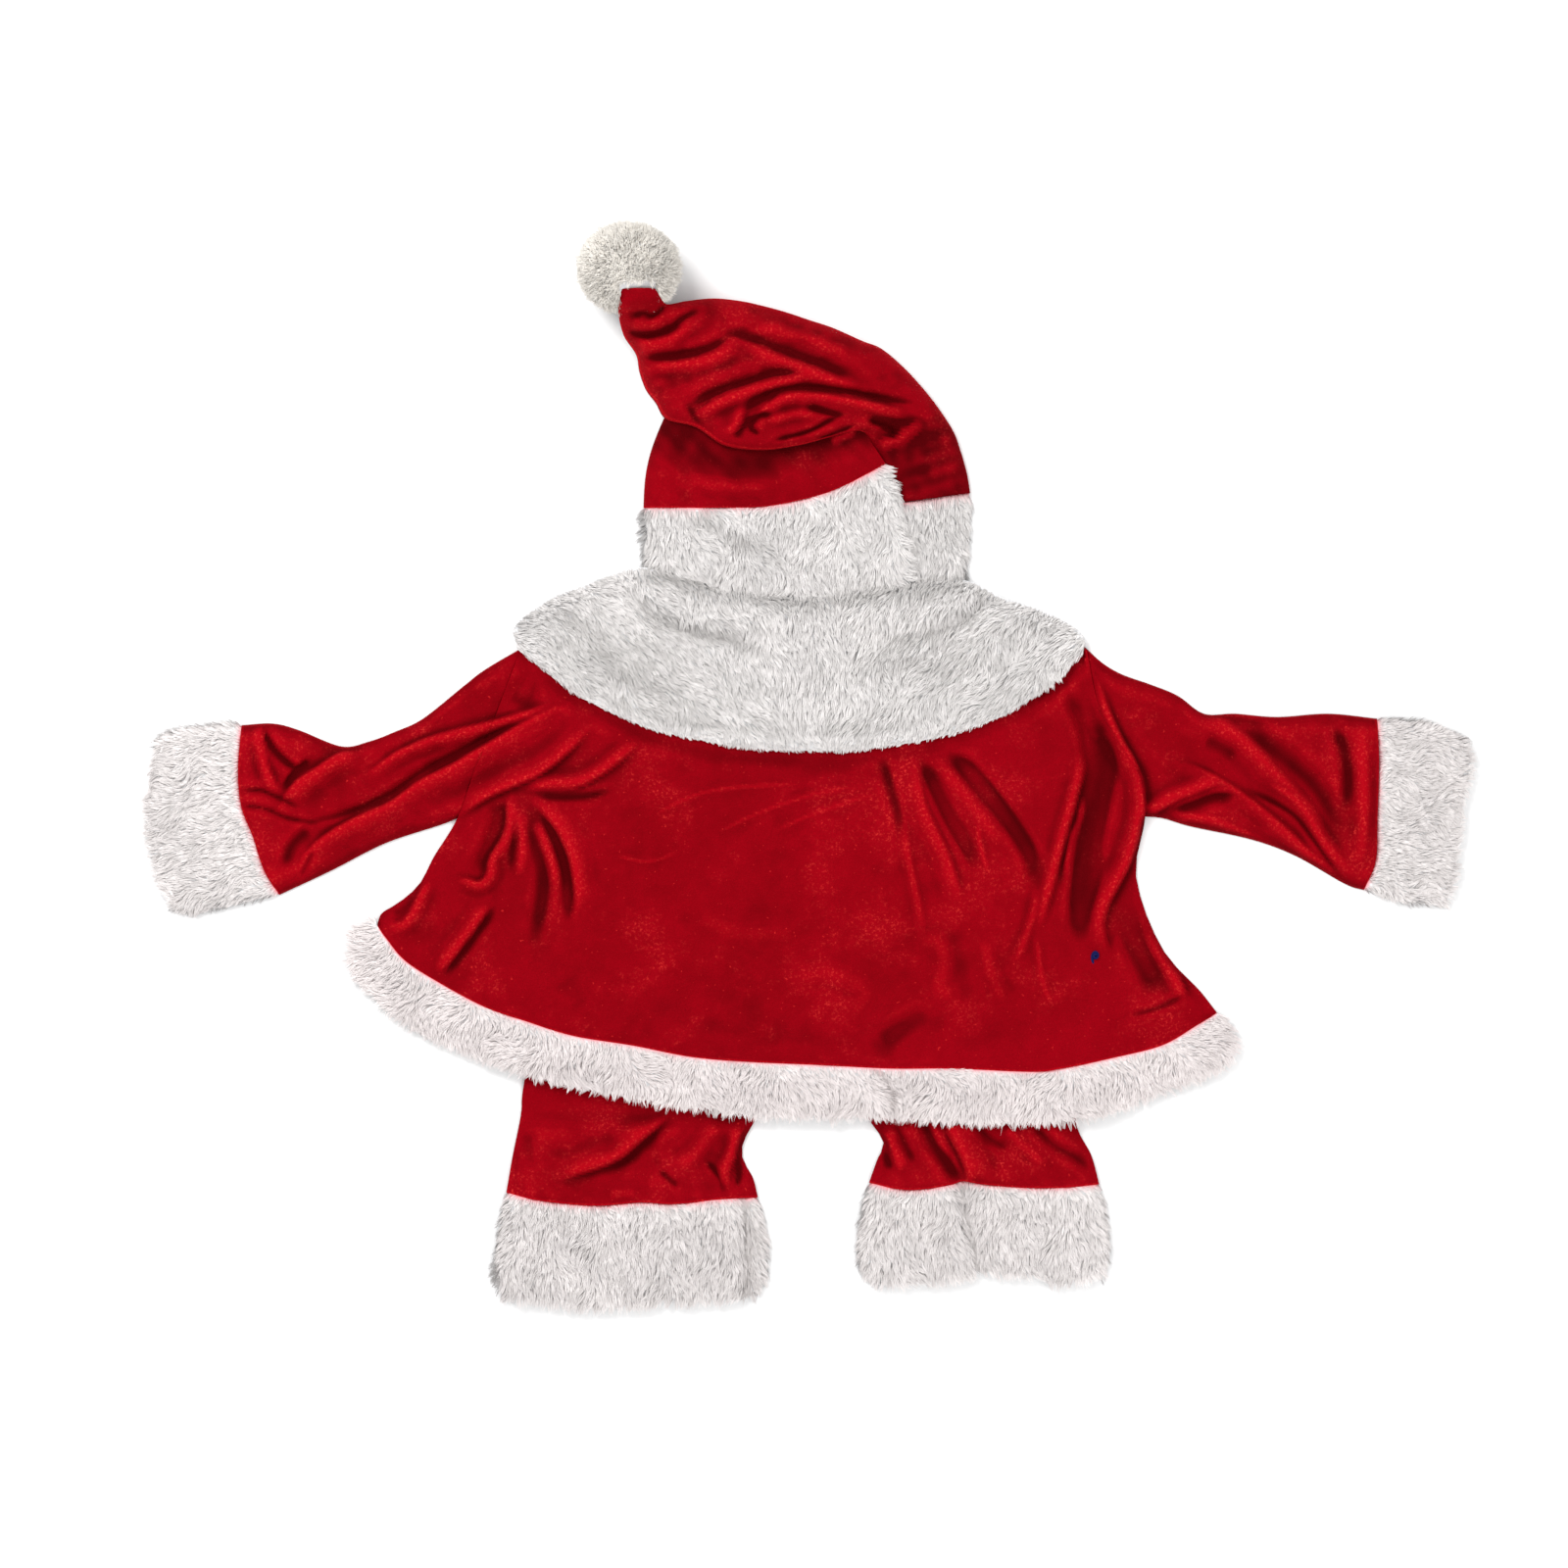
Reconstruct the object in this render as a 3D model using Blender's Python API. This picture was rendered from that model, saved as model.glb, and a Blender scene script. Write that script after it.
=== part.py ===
"""A toddler's santa suit laid flat, back side up: hat, fur cape, jacket and trousers.

Each cut piece of cloth is its own closed wall. The tables are in millimetres on the surface
that the suit lies on: x runs across the jacket, y from the trouser cuffs up to the hat, and
z up from the surface. Left and right are those of the picture seen from above.
"""

import math

import bmesh
import bpy
import numpy as np

MM = 0.001
LAY_CENTRE = (-0.35, 0.28)

VELVET_WALL = 1.5
LAYER_GAP = 0.5
SEAM_GAP = 0.45
FUR_UNDER = 3.0
FUR_INNER_GAP = 0.6
FUR_TOP = 9.6
HEM_TOP = 5.4
CAPE_THICK = 5.0
CAPE_CLEARANCE = 1.2
CAPE_EDGE_LIFT = 3.7

# What lies under the jacket lifts it: columns are y, left x and right x of the lifted part.
LIFTED_TOP = (84, -152, 146)
LIFTED_LOW = (-216, -190, 181)
LIFT = 3.8
LIFT_RAMP = 24

# Jacket outline, from the shoulder tip down the armhole and side to the hem: x, y.
JACKET_LEFT = [
    (-176, 71), (-190, 34), (-203, 0), (-215, -33), (-229, -56),
    (-238, -73), (-250, -84), (-261, -91), (-264, -98),
]
JACKET_RIGHT = [
    (170, 71), (178, 34), (192, 11), (204, -8), (209, -32),
    (201, -57), (201, -72), (208, -95), (220, -118), (239, -138), (250, -152),
]
UNDERARM_LEFT = 3
UNDERARM_RIGHT = 4
ARMHOLE_ROWS = 9
SIDE_ROWS = 11
# Shoulders and neck, hidden by the cape: x, y from left to right.
JACKET_TOP = [
    (-176, 71), (-153, 88), (-129, 100), (-99, 106), (-51, 99), (0, 94),
    (51, 99), (96, 104), (126, 91), (150, 81), (170, 71),
]

# Hem band: seam x, seam y, outer edge x, outer edge y, from left to right.
HEM = [
    (-264, -98, -272, -95), (-258, -107, -284, -109), (-247, -120, -279, -131),
    (-227, -133, -254, -157), (-199, -148, -222, -174), (-173, -157, -186, -188),
    (-144, -166, -152, -197), (-107, -172, -111, -206), (-71, -179, -73, -212),
    (-34, -182, -34, -217), (11, -184, 12, -218), (50, -186, 50, -218),
    (88, -186, 88, -221), (136, -188, 132, -221), (155, -186, 162, -220),
    (184, -180, 193, -212), (216, -172, 227, -198), (237, -160, 256, -187),
    (247, -154, 263, -174), (250, -152, 257, -158),
]

# Cape back: upper edge x, y and lower edge x, y, from left to right.
CAPE = [
    (-182, 79, -182, 74), (-179, 86, -170, 64), (-168, 95, -155, 52),
    (-155, 103, -142, 42), (-139, 109, -121, 31), (-121, 116, -95, 20),
    (-100, 120.5, -64, 13), (-75, 113.7, -48, 10), (-48, 107.7, -30, 8),
    (-24, 103.8, -12, 7), (4, 103.8, 6, 7), (30, 106.7, 24, 7),
    (63, 111.7, 44, 9), (96, 112.5, 74, 14), (121, 101, 105, 23),
    (135, 97, 128, 34), (156, 88, 152, 52), (167, 80, 164, 65), (170, 73, 169, 70),
]
# Cape fronts, under the jacket: the same columns, for each side.
CAPE_FRONTS = {
    "left": [(-140, 102, -138, 62), (-118, 109, -105, 45), (-92, 112, -65, 33),
             (-52, 96, -32, 28), (-3, 84, -3, 27)],
    "right": [(3, 84, 3, 27), (48, 96, 30, 28), (86, 107, 62, 33),
              (112, 100, 98, 45), (134, 91, 130, 60)],
}

# Sleeves: edges from the armhole to the cuff seam, the seam, and the cuff's own edges.
SLEEVES = {
    "left": {
        "top": [(-176.5, 71.5), (-198, 58), (-211, 48), (-236, 28), (-253, 20),
                (-269, 14), (-286, 11), (-312, 21), (-328, 25), (-347, 24)],
        "bottom": [(-215.5, -33), (-225, -37), (-253, -46), (-269, -53), (-292, -65), (-324, -80)],
        "seam": [(-347, 24), (-349, -4), (-347, -26), (-340, -44), (-333, -65), (-324, -80)],
        "cuff_top": [(-348, 25), (-357, 26), (-380, 24), (-393, 21), (-401, 16)],
        "cuff_end": [(-401, 16), (-407, -14), (-408, -37), (-404, -62), (-397, -82), (-391, -91)],
        "cuff_bottom": [(-325, -81), (-351, -87), (-379, -93), (-391, -91)],
    },
    "right": {
        "top": [(170.5, 71.5), (180, 62), (192, 55), (209, 49), (226, 42),
                (242, 31), (261, 31), (287, 29), (318, 31), (348, 28)],
        "bottom": [(209.5, -32), (217, -33), (234, -38), (271, -46), (298, -56), (328, -73), (340, -77)],
        "seam": [(348, 28), (349, 0), (348, -34), (347, -59), (340, -77)],
        "cuff_top": [(349, 29), (372, 28), (389, 24), (403, 17)],
        "cuff_end": [(403, 17), (408, 2), (403, -25), (400, -50), (396, -78), (391, -89)],
        "cuff_bottom": [(341, -78), (364, -86), (391, -89)],
    },
}

WAIST_TOP = 21
WAIST_SEAM = 9
WAIST_ENDS = (-112, 109)
HEM_EDGE_Y = -222
# Trousers: outer and inner leg edges from the waist down, the cuff seam, the cuff's own edges.
LEGS = {
    "left": {
        "left": [(-111, 9), (-135, -42), (-159, -120), (-174, -194), (-176, -214),
                 (-181, -239), (-185, -262)],
        "right": [(-2, 9), (-2, -108), (-6, -174), (-31, -215), (-40, -232),
                  (-40, -242), (-34, -253), (-31, -265)],
        "top": [(-111, 9), (-60, 9), (-2, 9)],
        "seam": [(-185, -262), (-164, -267), (-131, -270), (-103, -268), (-82, -269),
                 (-53, -266), (-31, -265)],
        "cuff_left": [(-185.5, -263), (-190, -285), (-193, -311), (-189, -328)],
        "cuff_right": [(-30.5, -266), (-27, -278), (-24, -298), (-25, -315), (-31, -327)],
        "cuff_end": [(-189, -328), (-168, -331), (-129, -335), (-90, -332), (-43, -329), (-31, -327)],
    },
    "right": {
        "left": [(2, 9), (2, -108), (8, -180), (38, -219), (46, -232), (42, -242), (37, -256)],
        "right": [(108, 9), (129, -42), (150, -120), (162, -194), (164, -221),
                  (173, -239), (178, -257)],
        "top": [(2, 9), (55, 9), (108, 9)],
        "seam": [(37, -256), (55, -260), (70, -260), (88, -257), (94, -255), (107, -257),
                 (131, -259), (156, -259), (178, -257)],
        "cuff_left": [(36.5, -257), (33, -272), (29, -296), (31, -312), (38, -320)],
        "cuff_right": [(178.5, -258), (182, -272), (185, -296), (182, -315)],
        "cuff_end": [(38, -320), (53, -321), (70, -319), (95, -316), (103, -311), (112, -313),
                     (131, -314), (156, -319), (182, -315)],
    },
}

# Hat band and crown, by columns from left to right. The first table is left of the pleat and
# on top, the second right of it. Columns: seam x, seam y, brim x, brim y, height.
HAT_OVER_PLEAT = [
    (-101, 157, -101, 122, 8), (-81, 157, -75, 115, 12.5), (-52, 157, -48, 109, 13.5),
    (-25, 158, -24, 105, 13.5), (4, 164, 4, 105, 13.5), (25, 172, 30, 108, 13.5),
    (47, 184, 63, 113, 13.5),
]
HAT_UNDER_PLEAT = [(58, 160, 67, 113.5, 9.5), (78, 163, 81, 114, 9.5), (99, 166, 97, 115, 7)]
# The crown's upper edge right of the pleat, where the folded tip ends: x, y.
HAT_CROWN_RIGHT = [(41, 204.3), (63, 204), (90, 202)]
HAT_SEAM_GAP = 0.8
HAT_LIP_GAP = 2.6
HAT_LIP_FROM = 6
HAT_BAND_INNER = 4.0
# Folded tip from the pompom to the right: lower edge x, y, upper edge x, y, underside z,
# top z, how far the crown reaches in under its lip, and the lip's underside and edge z.
HAT_TIP = [
    (-112, 287.5, -98, 285.5, 50.5, 56, 1, 51.5, 53),
    (-112, 279.5, -92, 284, 43, 51, 1, 44, 46.5),
    (-111, 271, -84, 282, 30, 42, 1.5, 31, 34),
    (-109, 263, -70, 284, 12, 33, 2, 14, 18),
    (-104, 248, -54, 284, 1, 27, 2, 3, 8),
    (-96, 228, -30, 281, 0, 24, 2, 2, 6),
    (-87, 211, 0, 273, 0, 24, 3, 4, 8),
    (-69, 206, 15, 267, 0, 25, 5, 13, 15.5),
    (-52, 195, 33, 259, 0, 26, 5, 14.2, 16.5),
    (-29, 192, 45, 254, 0, 26, 5, 14.2, 16.5),
    (-6, 195, 60, 241, 0, 24, 5, 14.2, 16.5),
    (13, 200, 75, 224, 0, 19, 5, 14.2, 16),
    (31, 206.5, 88, 205, 0, 13, 3, 3, 6),
]

POMPOM_CENTRE = (-109, 304, 31.6)
POMPOM_CORE = 24.5
POMPOM_REACH = 32.5
POMPOM_CELLS = 5
POMPOM_BARE = 7
POMPOM_PRESSED = 13

# Folds: height, half-width on each side, then the points that the crest or trough runs through.
JACKET_FOLDS = [
    (5, 9, 9, [(-187, -19), (-186, -43), (-199, -61), (-221, -73)]),
    (4, 8, 10, [(-176, -22), (-172, -43), (-176, -72)]),
    (7, 9, 15, [(-168, -21), (-157, -34), (-146, -52), (-142, -76), (-141, -104)]),
    (4, 10, 10, [(-178, -17), (-159, -9), (-122, 9)]),
    (4, 9, 9, [(-250, -92), (-238, -76), (-229, -60)]),
    (3.5, 10, 10, [(-227, -131), (-212, -116), (-188, -91)]),
    (4, 9, 14, [(47, 4), (57, -26), (63, -61), (68, -104)]),
    (4, 9, 14, [(75, 4), (82, -41), (93, -74), (97, -108)]),
    (6, 10, 16, [(160, 10), (157, -35), (146, -74), (139, -99), (126, -122)]),
    (8, 10, 14, [(186, 0), (186, -30), (176, -68), (171, -96), (182, -122)]),
    (3, 9, 12, [(218, -116), (222, -128), (234, -146)]),
]
SLEEVE_FOLDS = {
    "left": [
        (7, 9, 12, [(-188, 33), (-213, 26), (-244, 15), (-268, 2), (-284, -6)]),
        (6, 9, 13, [(-196, 12), (-228, -4), (-253, -17), (-277, -28), (-303, -36), (-326, -28)]),
        (5, 8, 9, [(-320, -68), (-305, -52), (-288, -37)]),
        (6, 8, 9, [(-337, 18), (-322, 4), (-306, -4), (-293, 3)]),
    ],
    "right": [
        (7, 9, 15, [(240, 28), (257, 21), (278, 9), (297, -10), (308, -34), (327, -66)]),
        (5, 8, 11, [(228, 3), (257, -8), (276, -18), (298, -36), (314, -58)]),
        (4, 9, 9, [(334, 18), (338, -15), (338, -60)]),
        (4, 8, 8, [(206, -26), (222, -24), (244, -20)]),
    ],
}
LEG_FOLDS = {
    "left": [
        (6, 9, 10, [(-84, -214), (-99, -226), (-122, -242), (-148, -250)]),
        (5, 8, 6, [(-42, -228), (-49, -246), (-50, -262)]),
    ],
    "right": [
        (5, 9, 7, [(82, -224), (90, -238), (96, -252)]),
        (4, 9, 9, [(140, -226), (152, -238), (162, -250)]),
    ],
}
CUFF_FOLDS = {
    "left": [(-3.5, 9, 5, [(-40, -262), (-37, -298), (-36, -330)])],
    "right": [(-4, 6, 6, [(95, -254), (98, -278), (102, -313)])],
}
CAPE_FOLDS = [
    (4, 9, 9, [(-106, 112), (-77, 90), (-38, 83)]),
    (4, 9, 9, [(100, 110), (103, 97), (79, 88), (53, 81), (19, 92)]),
]
HAT_TIP_FOLDS = [
    (3, 8, 8, [(-100, 262), (-80, 270), (-60, 281)]),
    (3, 8, 8, [(-92, 246), (-66, 254), (-44, 266)]),
    (4, 9, 9, [(-62, 250), (-20, 246), (20, 238), (60, 224)]),
    (3.5, 8, 8, [(-46, 206), (-34, 224), (-4, 229), (26, 226)]),
]


def smooth(t):
    """Eases from 0 to 1 as t goes from 0 to 1."""
    t = np.clip(t, 0, 1)
    return t * t * (3 - 2 * t)


def curve(points, at, first=0, last=None):
    """Points at these fractions of a smooth curve through the given points, or of a stretch of it."""
    knots = np.array(points, float)
    last = len(knots) - 1 if last is None else last
    ends = np.vstack([2 * knots[0] - knots[1], knots, 2 * knots[-1] - knots[-2]])
    steps = np.linspace(0, 1, 12, endpoint=False)[:, None]
    runs = []
    for a, b, c, d in list(zip(ends, ends[1:], ends[2:], ends[3:]))[first:last]:
        bend = (2 * a - 5 * b + 4 * c - d) * steps**2 + (3 * b - a - 3 * c + d) * steps**3
        runs.append(b + ((c - a) * steps + bend) / 2)
    fine = np.vstack(runs + [knots[last]])
    length = np.hypot(*np.diff(fine[:, :2], axis=0).T)
    run = np.concatenate([[0], np.cumsum(length)])
    return np.column_stack([np.interp(at * run[-1], run, column) for column in fine.T])


def even(count):
    return np.linspace(0, 1, count + 1)


def edged(count, edge):
    """Fractions with a narrow first and last step, for a form whose sides turn down."""
    return np.concatenate([[0], np.linspace(edge, 1 - edge, count - 1), [1]])


def patch(top, bottom, left, right, across, down):
    """Grid of x, y between four edges, [row, column], with rows going from top to bottom."""
    t, b = top[None], bottom[None]
    l, r = left[:, None], right[:, None]
    u, v = across[None, :, None], down[:, None, None]
    ruled = (1 - v) * t + v * b + (1 - u) * l + u * r
    corners = (1 - v) * ((1 - u) * t[:, :1] + u * t[:, -1:])
    return ruled - corners - v * ((1 - u) * b[:, :1] + u * b[:, -1:])


def stretched(stations, across, down):
    """Grid between two edges given by stations of x, y, x, y, with rows from the first edge."""
    line = curve(stations, across)
    return line[None, :, :2] + (line[:, 2:4] - line[:, :2])[None] * down[:, None, None]


def beside(points, gap, centre):
    """The same points, moved away from a centre by the gap between two sewn pieces."""
    away = points - np.array(centre, float)
    return points + gap * away / np.linalg.norm(away, axis=1)[:, None]


def fold_height(plan, folds):
    """Height that soft folds add at each x, y of a grid, fading out at their ends."""
    x, y = plan[..., 0], plan[..., 1]
    total = np.zeros(x.shape)
    for height, left_width, right_width, points in folds:
        line = curve(points, even(24))
        nearest = np.full(x.shape, 1e9)
        offset = np.zeros(x.shape)
        along = np.zeros(x.shape)
        for k, (start, end) in enumerate(zip(line, line[1:])):
            dx, dy = end - start
            t = np.clip(((x - start[0]) * dx + (y - start[1]) * dy) / (dx * dx + dy * dy), 0, 1)
            ex, ey = x - start[0] - t * dx, y - start[1] - t * dy
            far = np.hypot(ex, ey)
            closer = far < nearest
            nearest = np.where(closer, far, nearest)
            offset = np.where(closer, np.sign(dx * ey - dy * ex), offset)
            along = np.where(closer, (k + t) / (len(line) - 1), along)
        width = np.where(offset > 0, left_width, right_width)
        bump = np.cos(np.clip(nearest / width, 0, 1) * math.pi / 2) ** 2
        total += height * bump * smooth(along / 0.25 + 0.3) * smooth((1 - along) / 0.3 + 0.1)
    return total


def lifted(plan):
    """How far the trousers and the cape fronts lift the jacket at each x, y."""
    x, y = plan[..., 0], plan[..., 1]
    down = (LIFTED_TOP[0] - y) / (LIFTED_TOP[0] - LIFTED_LOW[0])
    left = LIFTED_TOP[1] + down * (LIFTED_LOW[1] - LIFTED_TOP[1])
    right = LIFTED_TOP[2] + down * (LIFTED_LOW[2] - LIFTED_TOP[2])
    return LIFT * smooth(1 + np.minimum(x - left, right - x) / LIFT_RAMP)


def below_cape(plan):
    """0 under the cape and 1 from a little below its lower edge."""
    edge = np.array(CAPE)
    low = np.interp(plan[..., 0], edge[:, 2], edge[:, 3], left=90, right=90)
    return smooth((low - 2 - plan[..., 1]) / 14)


def velvet(name):
    return cloth(name, (0.42, 0.004, 0.010, 1), 0.75)


def fur(name):
    return cloth(name, (0.84, 0.84, 0.86, 1), 0.95)


def cloth(name, colour, roughness):
    material = bpy.data.materials.new(name)
    material.use_nodes = True
    shader = material.node_tree.nodes["Principled BSDF"]
    shader.inputs["Base Color"].default_value = colour
    shader.inputs["Roughness"].default_value = roughness
    shader.inputs["Metallic"].default_value = 0.0
    return material


def solid(name, points, faces, material):
    """One closed mesh object from points in millimetres."""
    mesh = bpy.data.meshes.new(name)
    places = (np.array(points) - np.array([*LAY_CENTRE, 0])) * MM
    mesh.from_pydata(places.tolist(), [], faces)
    work = bmesh.new()
    work.from_mesh(mesh)
    bmesh.ops.recalc_face_normals(work, faces=work.faces)
    work.to_mesh(mesh)
    work.free()
    mesh.materials.append(material)
    mesh.shade_smooth()
    mesh.set_sharp_from_angle(angle=math.radians(50))
    piece = bpy.data.objects.new(name, mesh)
    bpy.context.scene.collection.objects.link(piece)
    return piece


def two_triangles(a, b, c, d):
    return [(a, b, c), (a, c, d)]


def layer(name, plan, under, over, material):
    """A closed wall over a grid, between an underside and a top."""
    rows, columns = plan.shape[:2]
    under = np.broadcast_to(under, (rows, columns))
    over = np.broadcast_to(over, (rows, columns))
    points = [(*plan[r, c], z[r, c]) for z in (over, under) for r in range(rows) for c in range(columns)]
    below = rows * columns
    faces = []
    for r in range(rows - 1):
        for c in range(columns - 1):
            a = r * columns + c
            faces += two_triangles(a, a + columns, a + columns + 1, a + 1)
            faces += two_triangles(*(below + k for k in (a, a + columns, a + columns + 1, a + 1)))
    rim = list(range(columns)) + [r * columns + columns - 1 for r in range(1, rows)]
    rim += [(rows - 1) * columns + c for c in range(columns - 2, -1, -1)]
    rim += [r * columns for r in range(rows - 2, 0, -1)]
    for a, b in zip(rim, rim[1:] + rim[:1]):
        faces += two_triangles(a, b, below + b, below + a)
    return solid(name, points, faces, material)


def flat_tube(name, plan, under, low_inner, high_inner, over, material):
    """A sewn tube pressed flat: two walls that meet along the first and last column, open at both ends."""
    rows, columns = plan.shape[:2]
    heights = [np.broadcast_to(z, (rows, columns)) for z in (under, low_inner, high_inner, over)]
    under, low_inner, high_inner, over = heights
    last = columns - 1
    inset = (np.max(over[:, 1] - high_inner[:, 1]) + np.max(low_inner[:, 1] - under[:, 1])) / 2
    rings = []
    for low, high, step_in in ((under, over, 0), (low_inner, high_inner, inset)):
        for r in range(rows):
            side = []
            for edge, near in ((0, 1), (last, last - 1)):
                inward = plan[r, near] - plan[r, edge]
                place = plan[r, edge] + inward * step_in / np.linalg.norm(inward)
                side.append((*place, (low[r, near] + high[r, near]) / 2))
            ring = [side[0]] + [(*plan[r, c], high[r, c]) for c in range(1, last)]
            ring += [side[1]] + [(*plan[r, c], low[r, c]) for c in range(last - 1, 0, -1)]
            rings.append(ring)
    around = 2 * last
    points = [point for ring in rings for point in ring]
    faces = []
    for start in (0, rows):
        for r in range(start, start + rows - 1):
            for k in range(around):
                n = (k + 1) % around
                faces += two_triangles(r * around + k, (r + 1) * around + k, (r + 1) * around + n, r * around + n)
    for outer, inner in ((0, rows), (rows - 1, 2 * rows - 1)):
        for k in range(around):
            n = (k + 1) % around
            faces += two_triangles(outer * around + k, outer * around + n, inner * around + n, inner * around + k)
    return solid(name, points, faces, material)


def loft(name, rings, material):
    """A closed body through rings of as many points each, with flat ends."""
    around = len(rings[0])
    points = [point for ring in rings for point in ring]
    faces = []
    for r in range(len(rings) - 1):
        for k in range(around):
            n = (k + 1) % around
            faces += two_triangles(r * around + k, (r + 1) * around + k, (r + 1) * around + n, r * around + n)
    end = (len(rings) - 1) * around
    for k in range(1, around - 1):
        faces += [(0, k, k + 1), (end, end + k, end + k + 1)]
    return solid(name, points, faces, material)


def jacket():
    """Front and back panels on one grid, the front at half its fineness, and the hem bands."""
    across, down = even(36), even(ARMHOLE_ROWS + SIDE_ROWS)
    left, right = jacket_side(JACKET_LEFT, UNDERARM_LEFT), jacket_side(JACKET_RIGHT, UNDERARM_RIGHT)
    seam = curve([row[:2] for row in HEM], across)
    plan = patch(curve(JACKET_TOP, across), seam, left, right, across, down)
    front_plan = plan[:, ::2]
    front_under = lifted(front_plan)
    layer("jacket_front", front_plan, front_under, front_under + VELVET_WALL, velvet("velvet_front"))

    rows, columns = np.indices(plan.shape[:2])
    front = between(front_under, across) + VELVET_WALL
    u, v = columns / columns.max(), rows / rows.max()
    inside = smooth(np.minimum(u, 1 - u) / 0.12) * below_cape(plan)
    to_hem = smooth((v - 0.85) / 0.15)
    puff = 2.4 * inside * (1 - 0.6 * to_hem) + 1.4 * to_hem
    folds = fold_height(plan, JACKET_FOLDS) * inside
    under = front + LAYER_GAP + np.maximum(puff + folds, 0)
    layer("jacket_back", plan, under, under + VELVET_WALL, velvet("velvet_back"))

    band = np.array([0, 0.14, 0.5, 0.86, 1])
    hem_line = np.array(HEM, float)
    hem_line[:, :2] = beside(hem_line[:, :2], SEAM_GAP, (0, 60))
    hem_plan = stretched(hem_line, across, band)
    front_hem = hem_plan[:, ::2]
    front_under = lifted(front_hem)
    layer("hem_front", front_hem, front_under, front_under + FUR_UNDER, fur("fur_hem_front"))
    base = between(front_under, across) + FUR_UNDER + LAYER_GAP
    rounding = np.array([0.62, 0.92, 1, 0.9, 0.5])[:, None]
    ends = smooth(np.minimum(across, 1 - across) / 0.04 + 0.35)[None]
    layer("hem_back", hem_plan, base, base + HEM_TOP * rounding * ends, fur("fur_hem_back"))


def between(coarse, across):
    """Heights given at every second column, filled in to all of these."""
    return np.array([np.interp(across, across[::2], row) for row in coarse])


def jacket_side(points, underarm):
    """One side of the jacket, with as many points down the armhole as the sleeve has round it."""
    armhole = curve(points, even(ARMHOLE_ROWS), 0, underarm)
    return np.vstack([armhole, curve(points, even(SIDE_ROWS), underarm)[1:]])


def cape():
    """The back over the jacket, with its neck rolls, and the two fronts under it."""
    across, down = even(40), np.array([0, 0.1, 0.3, 0.55, 0.8, 0.94, 1])
    plan = stretched(CAPE, across, down)
    length = np.hypot(*(plan[-1] - plan[0]).T)[None]
    from_top = length * down[:, None]
    jacket_top = lifted(plan) + 2 * VELVET_WALL + LAYER_GAP
    level = jacket_top + CAPE_CLEARANCE
    under = CAPE_EDGE_LIFT + (level - CAPE_EDGE_LIFT) * smooth(from_top / 8)
    under = np.maximum(under, np.minimum(level, CAPE_EDGE_LIFT + 1))
    rounding = np.array([0.5, 0.85, 1, 1, 1, 0.85, 0.5])[:, None]
    ends = smooth(np.minimum(across, 1 - across) / 0.05 + 0.3)[None]
    over = under + CAPE_THICK * rounding * ends + fold_height(plan, CAPE_FOLDS) * rounding
    layer("cape_back", plan, under, over, fur("fur_cape_back"))
    for side, stations in CAPE_FRONTS.items():
        layer(f"cape_front_{side}", stretched(stations, even(8), even(3)), 0, FUR_UNDER, fur(f"fur_cape_{side}"))


def sleeve(side):
    """The flattened sleeve from the armhole to the cuff seam, and its fur cuff."""
    edges = SLEEVES[side]
    armhole, underarm = (JACKET_LEFT, UNDERARM_LEFT) if side == "left" else (JACKET_RIGHT, UNDERARM_RIGHT)
    along, round_it = even(18), even(ARMHOLE_ROWS)
    away = -SEAM_GAP if side == "left" else SEAM_GAP
    hole = curve(armhole, round_it, 0, underarm) + (away, 0)
    top, bottom = np.array(edges["top"], float), np.array(edges["bottom"], float)
    top[0], bottom[0] = hole[0], hole[-1]
    plan = patch(curve(top, along), curve(bottom, along), hole, curve(edges["seam"], round_it), along, round_it)
    plan = plan.transpose(1, 0, 2)
    across, length = round_it[None], along[:, None]
    flat = 2 * VELVET_WALL + FUR_INNER_GAP
    middle = smooth(np.minimum(across, 1 - across) / 0.25) * smooth(length / 0.2)
    lift = 2.6 * middle + 1.5 * smooth((length - 0.8) / 0.2) * smooth(np.minimum(across, 1 - across) / 0.1)
    over = np.maximum(flat + lift + fold_height(plan, SLEEVE_FOLDS[side]) * middle, flat)
    flat_tube(f"sleeve_{side}", plan, 0, VELVET_WALL, over - VELVET_WALL, over, velvet(f"velvet_sleeve_{side}"))

    round_it = edged(8, 0.1)
    wrist = curve(edges["seam"], round_it) + (1.6 * away, 0)
    cuff_top, cuff_bottom = np.array(edges["cuff_top"], float), np.array(edges["cuff_bottom"], float)
    cuff_top[0], cuff_bottom[0] = wrist[0], wrist[-1]
    fur_cuff(f"sleeve_cuff_{side}", cuff_top, cuff_bottom, wrist, curve(edges["cuff_end"], round_it), round_it, [])


def fur_cuff(name, first_edge, second_edge, seam, end, round_it, folds):
    """A flattened ring of fur cloth, higher in its middle than at its seam and end."""
    along = np.array([0, 0.14, 0.5, 0.86, 1])
    plan = patch(curve(first_edge, along), curve(second_edge, along), seam, end, along, round_it)
    plan = plan.transpose(1, 0, 2)
    inner = FUR_UNDER + FUR_INNER_GAP
    rounding = np.array([0.5, 0.85, 1, 0.88, 0.5])[:, None]
    across = smooth(np.minimum(round_it, 1 - round_it) / 0.22 + 0.25)[None]
    over = inner + (FUR_TOP - inner) * rounding * across + fold_height(plan, folds)
    flat_tube(name, plan, 0, FUR_UNDER, inner, np.maximum(over, inner + 2), fur("fur_" + name))


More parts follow.
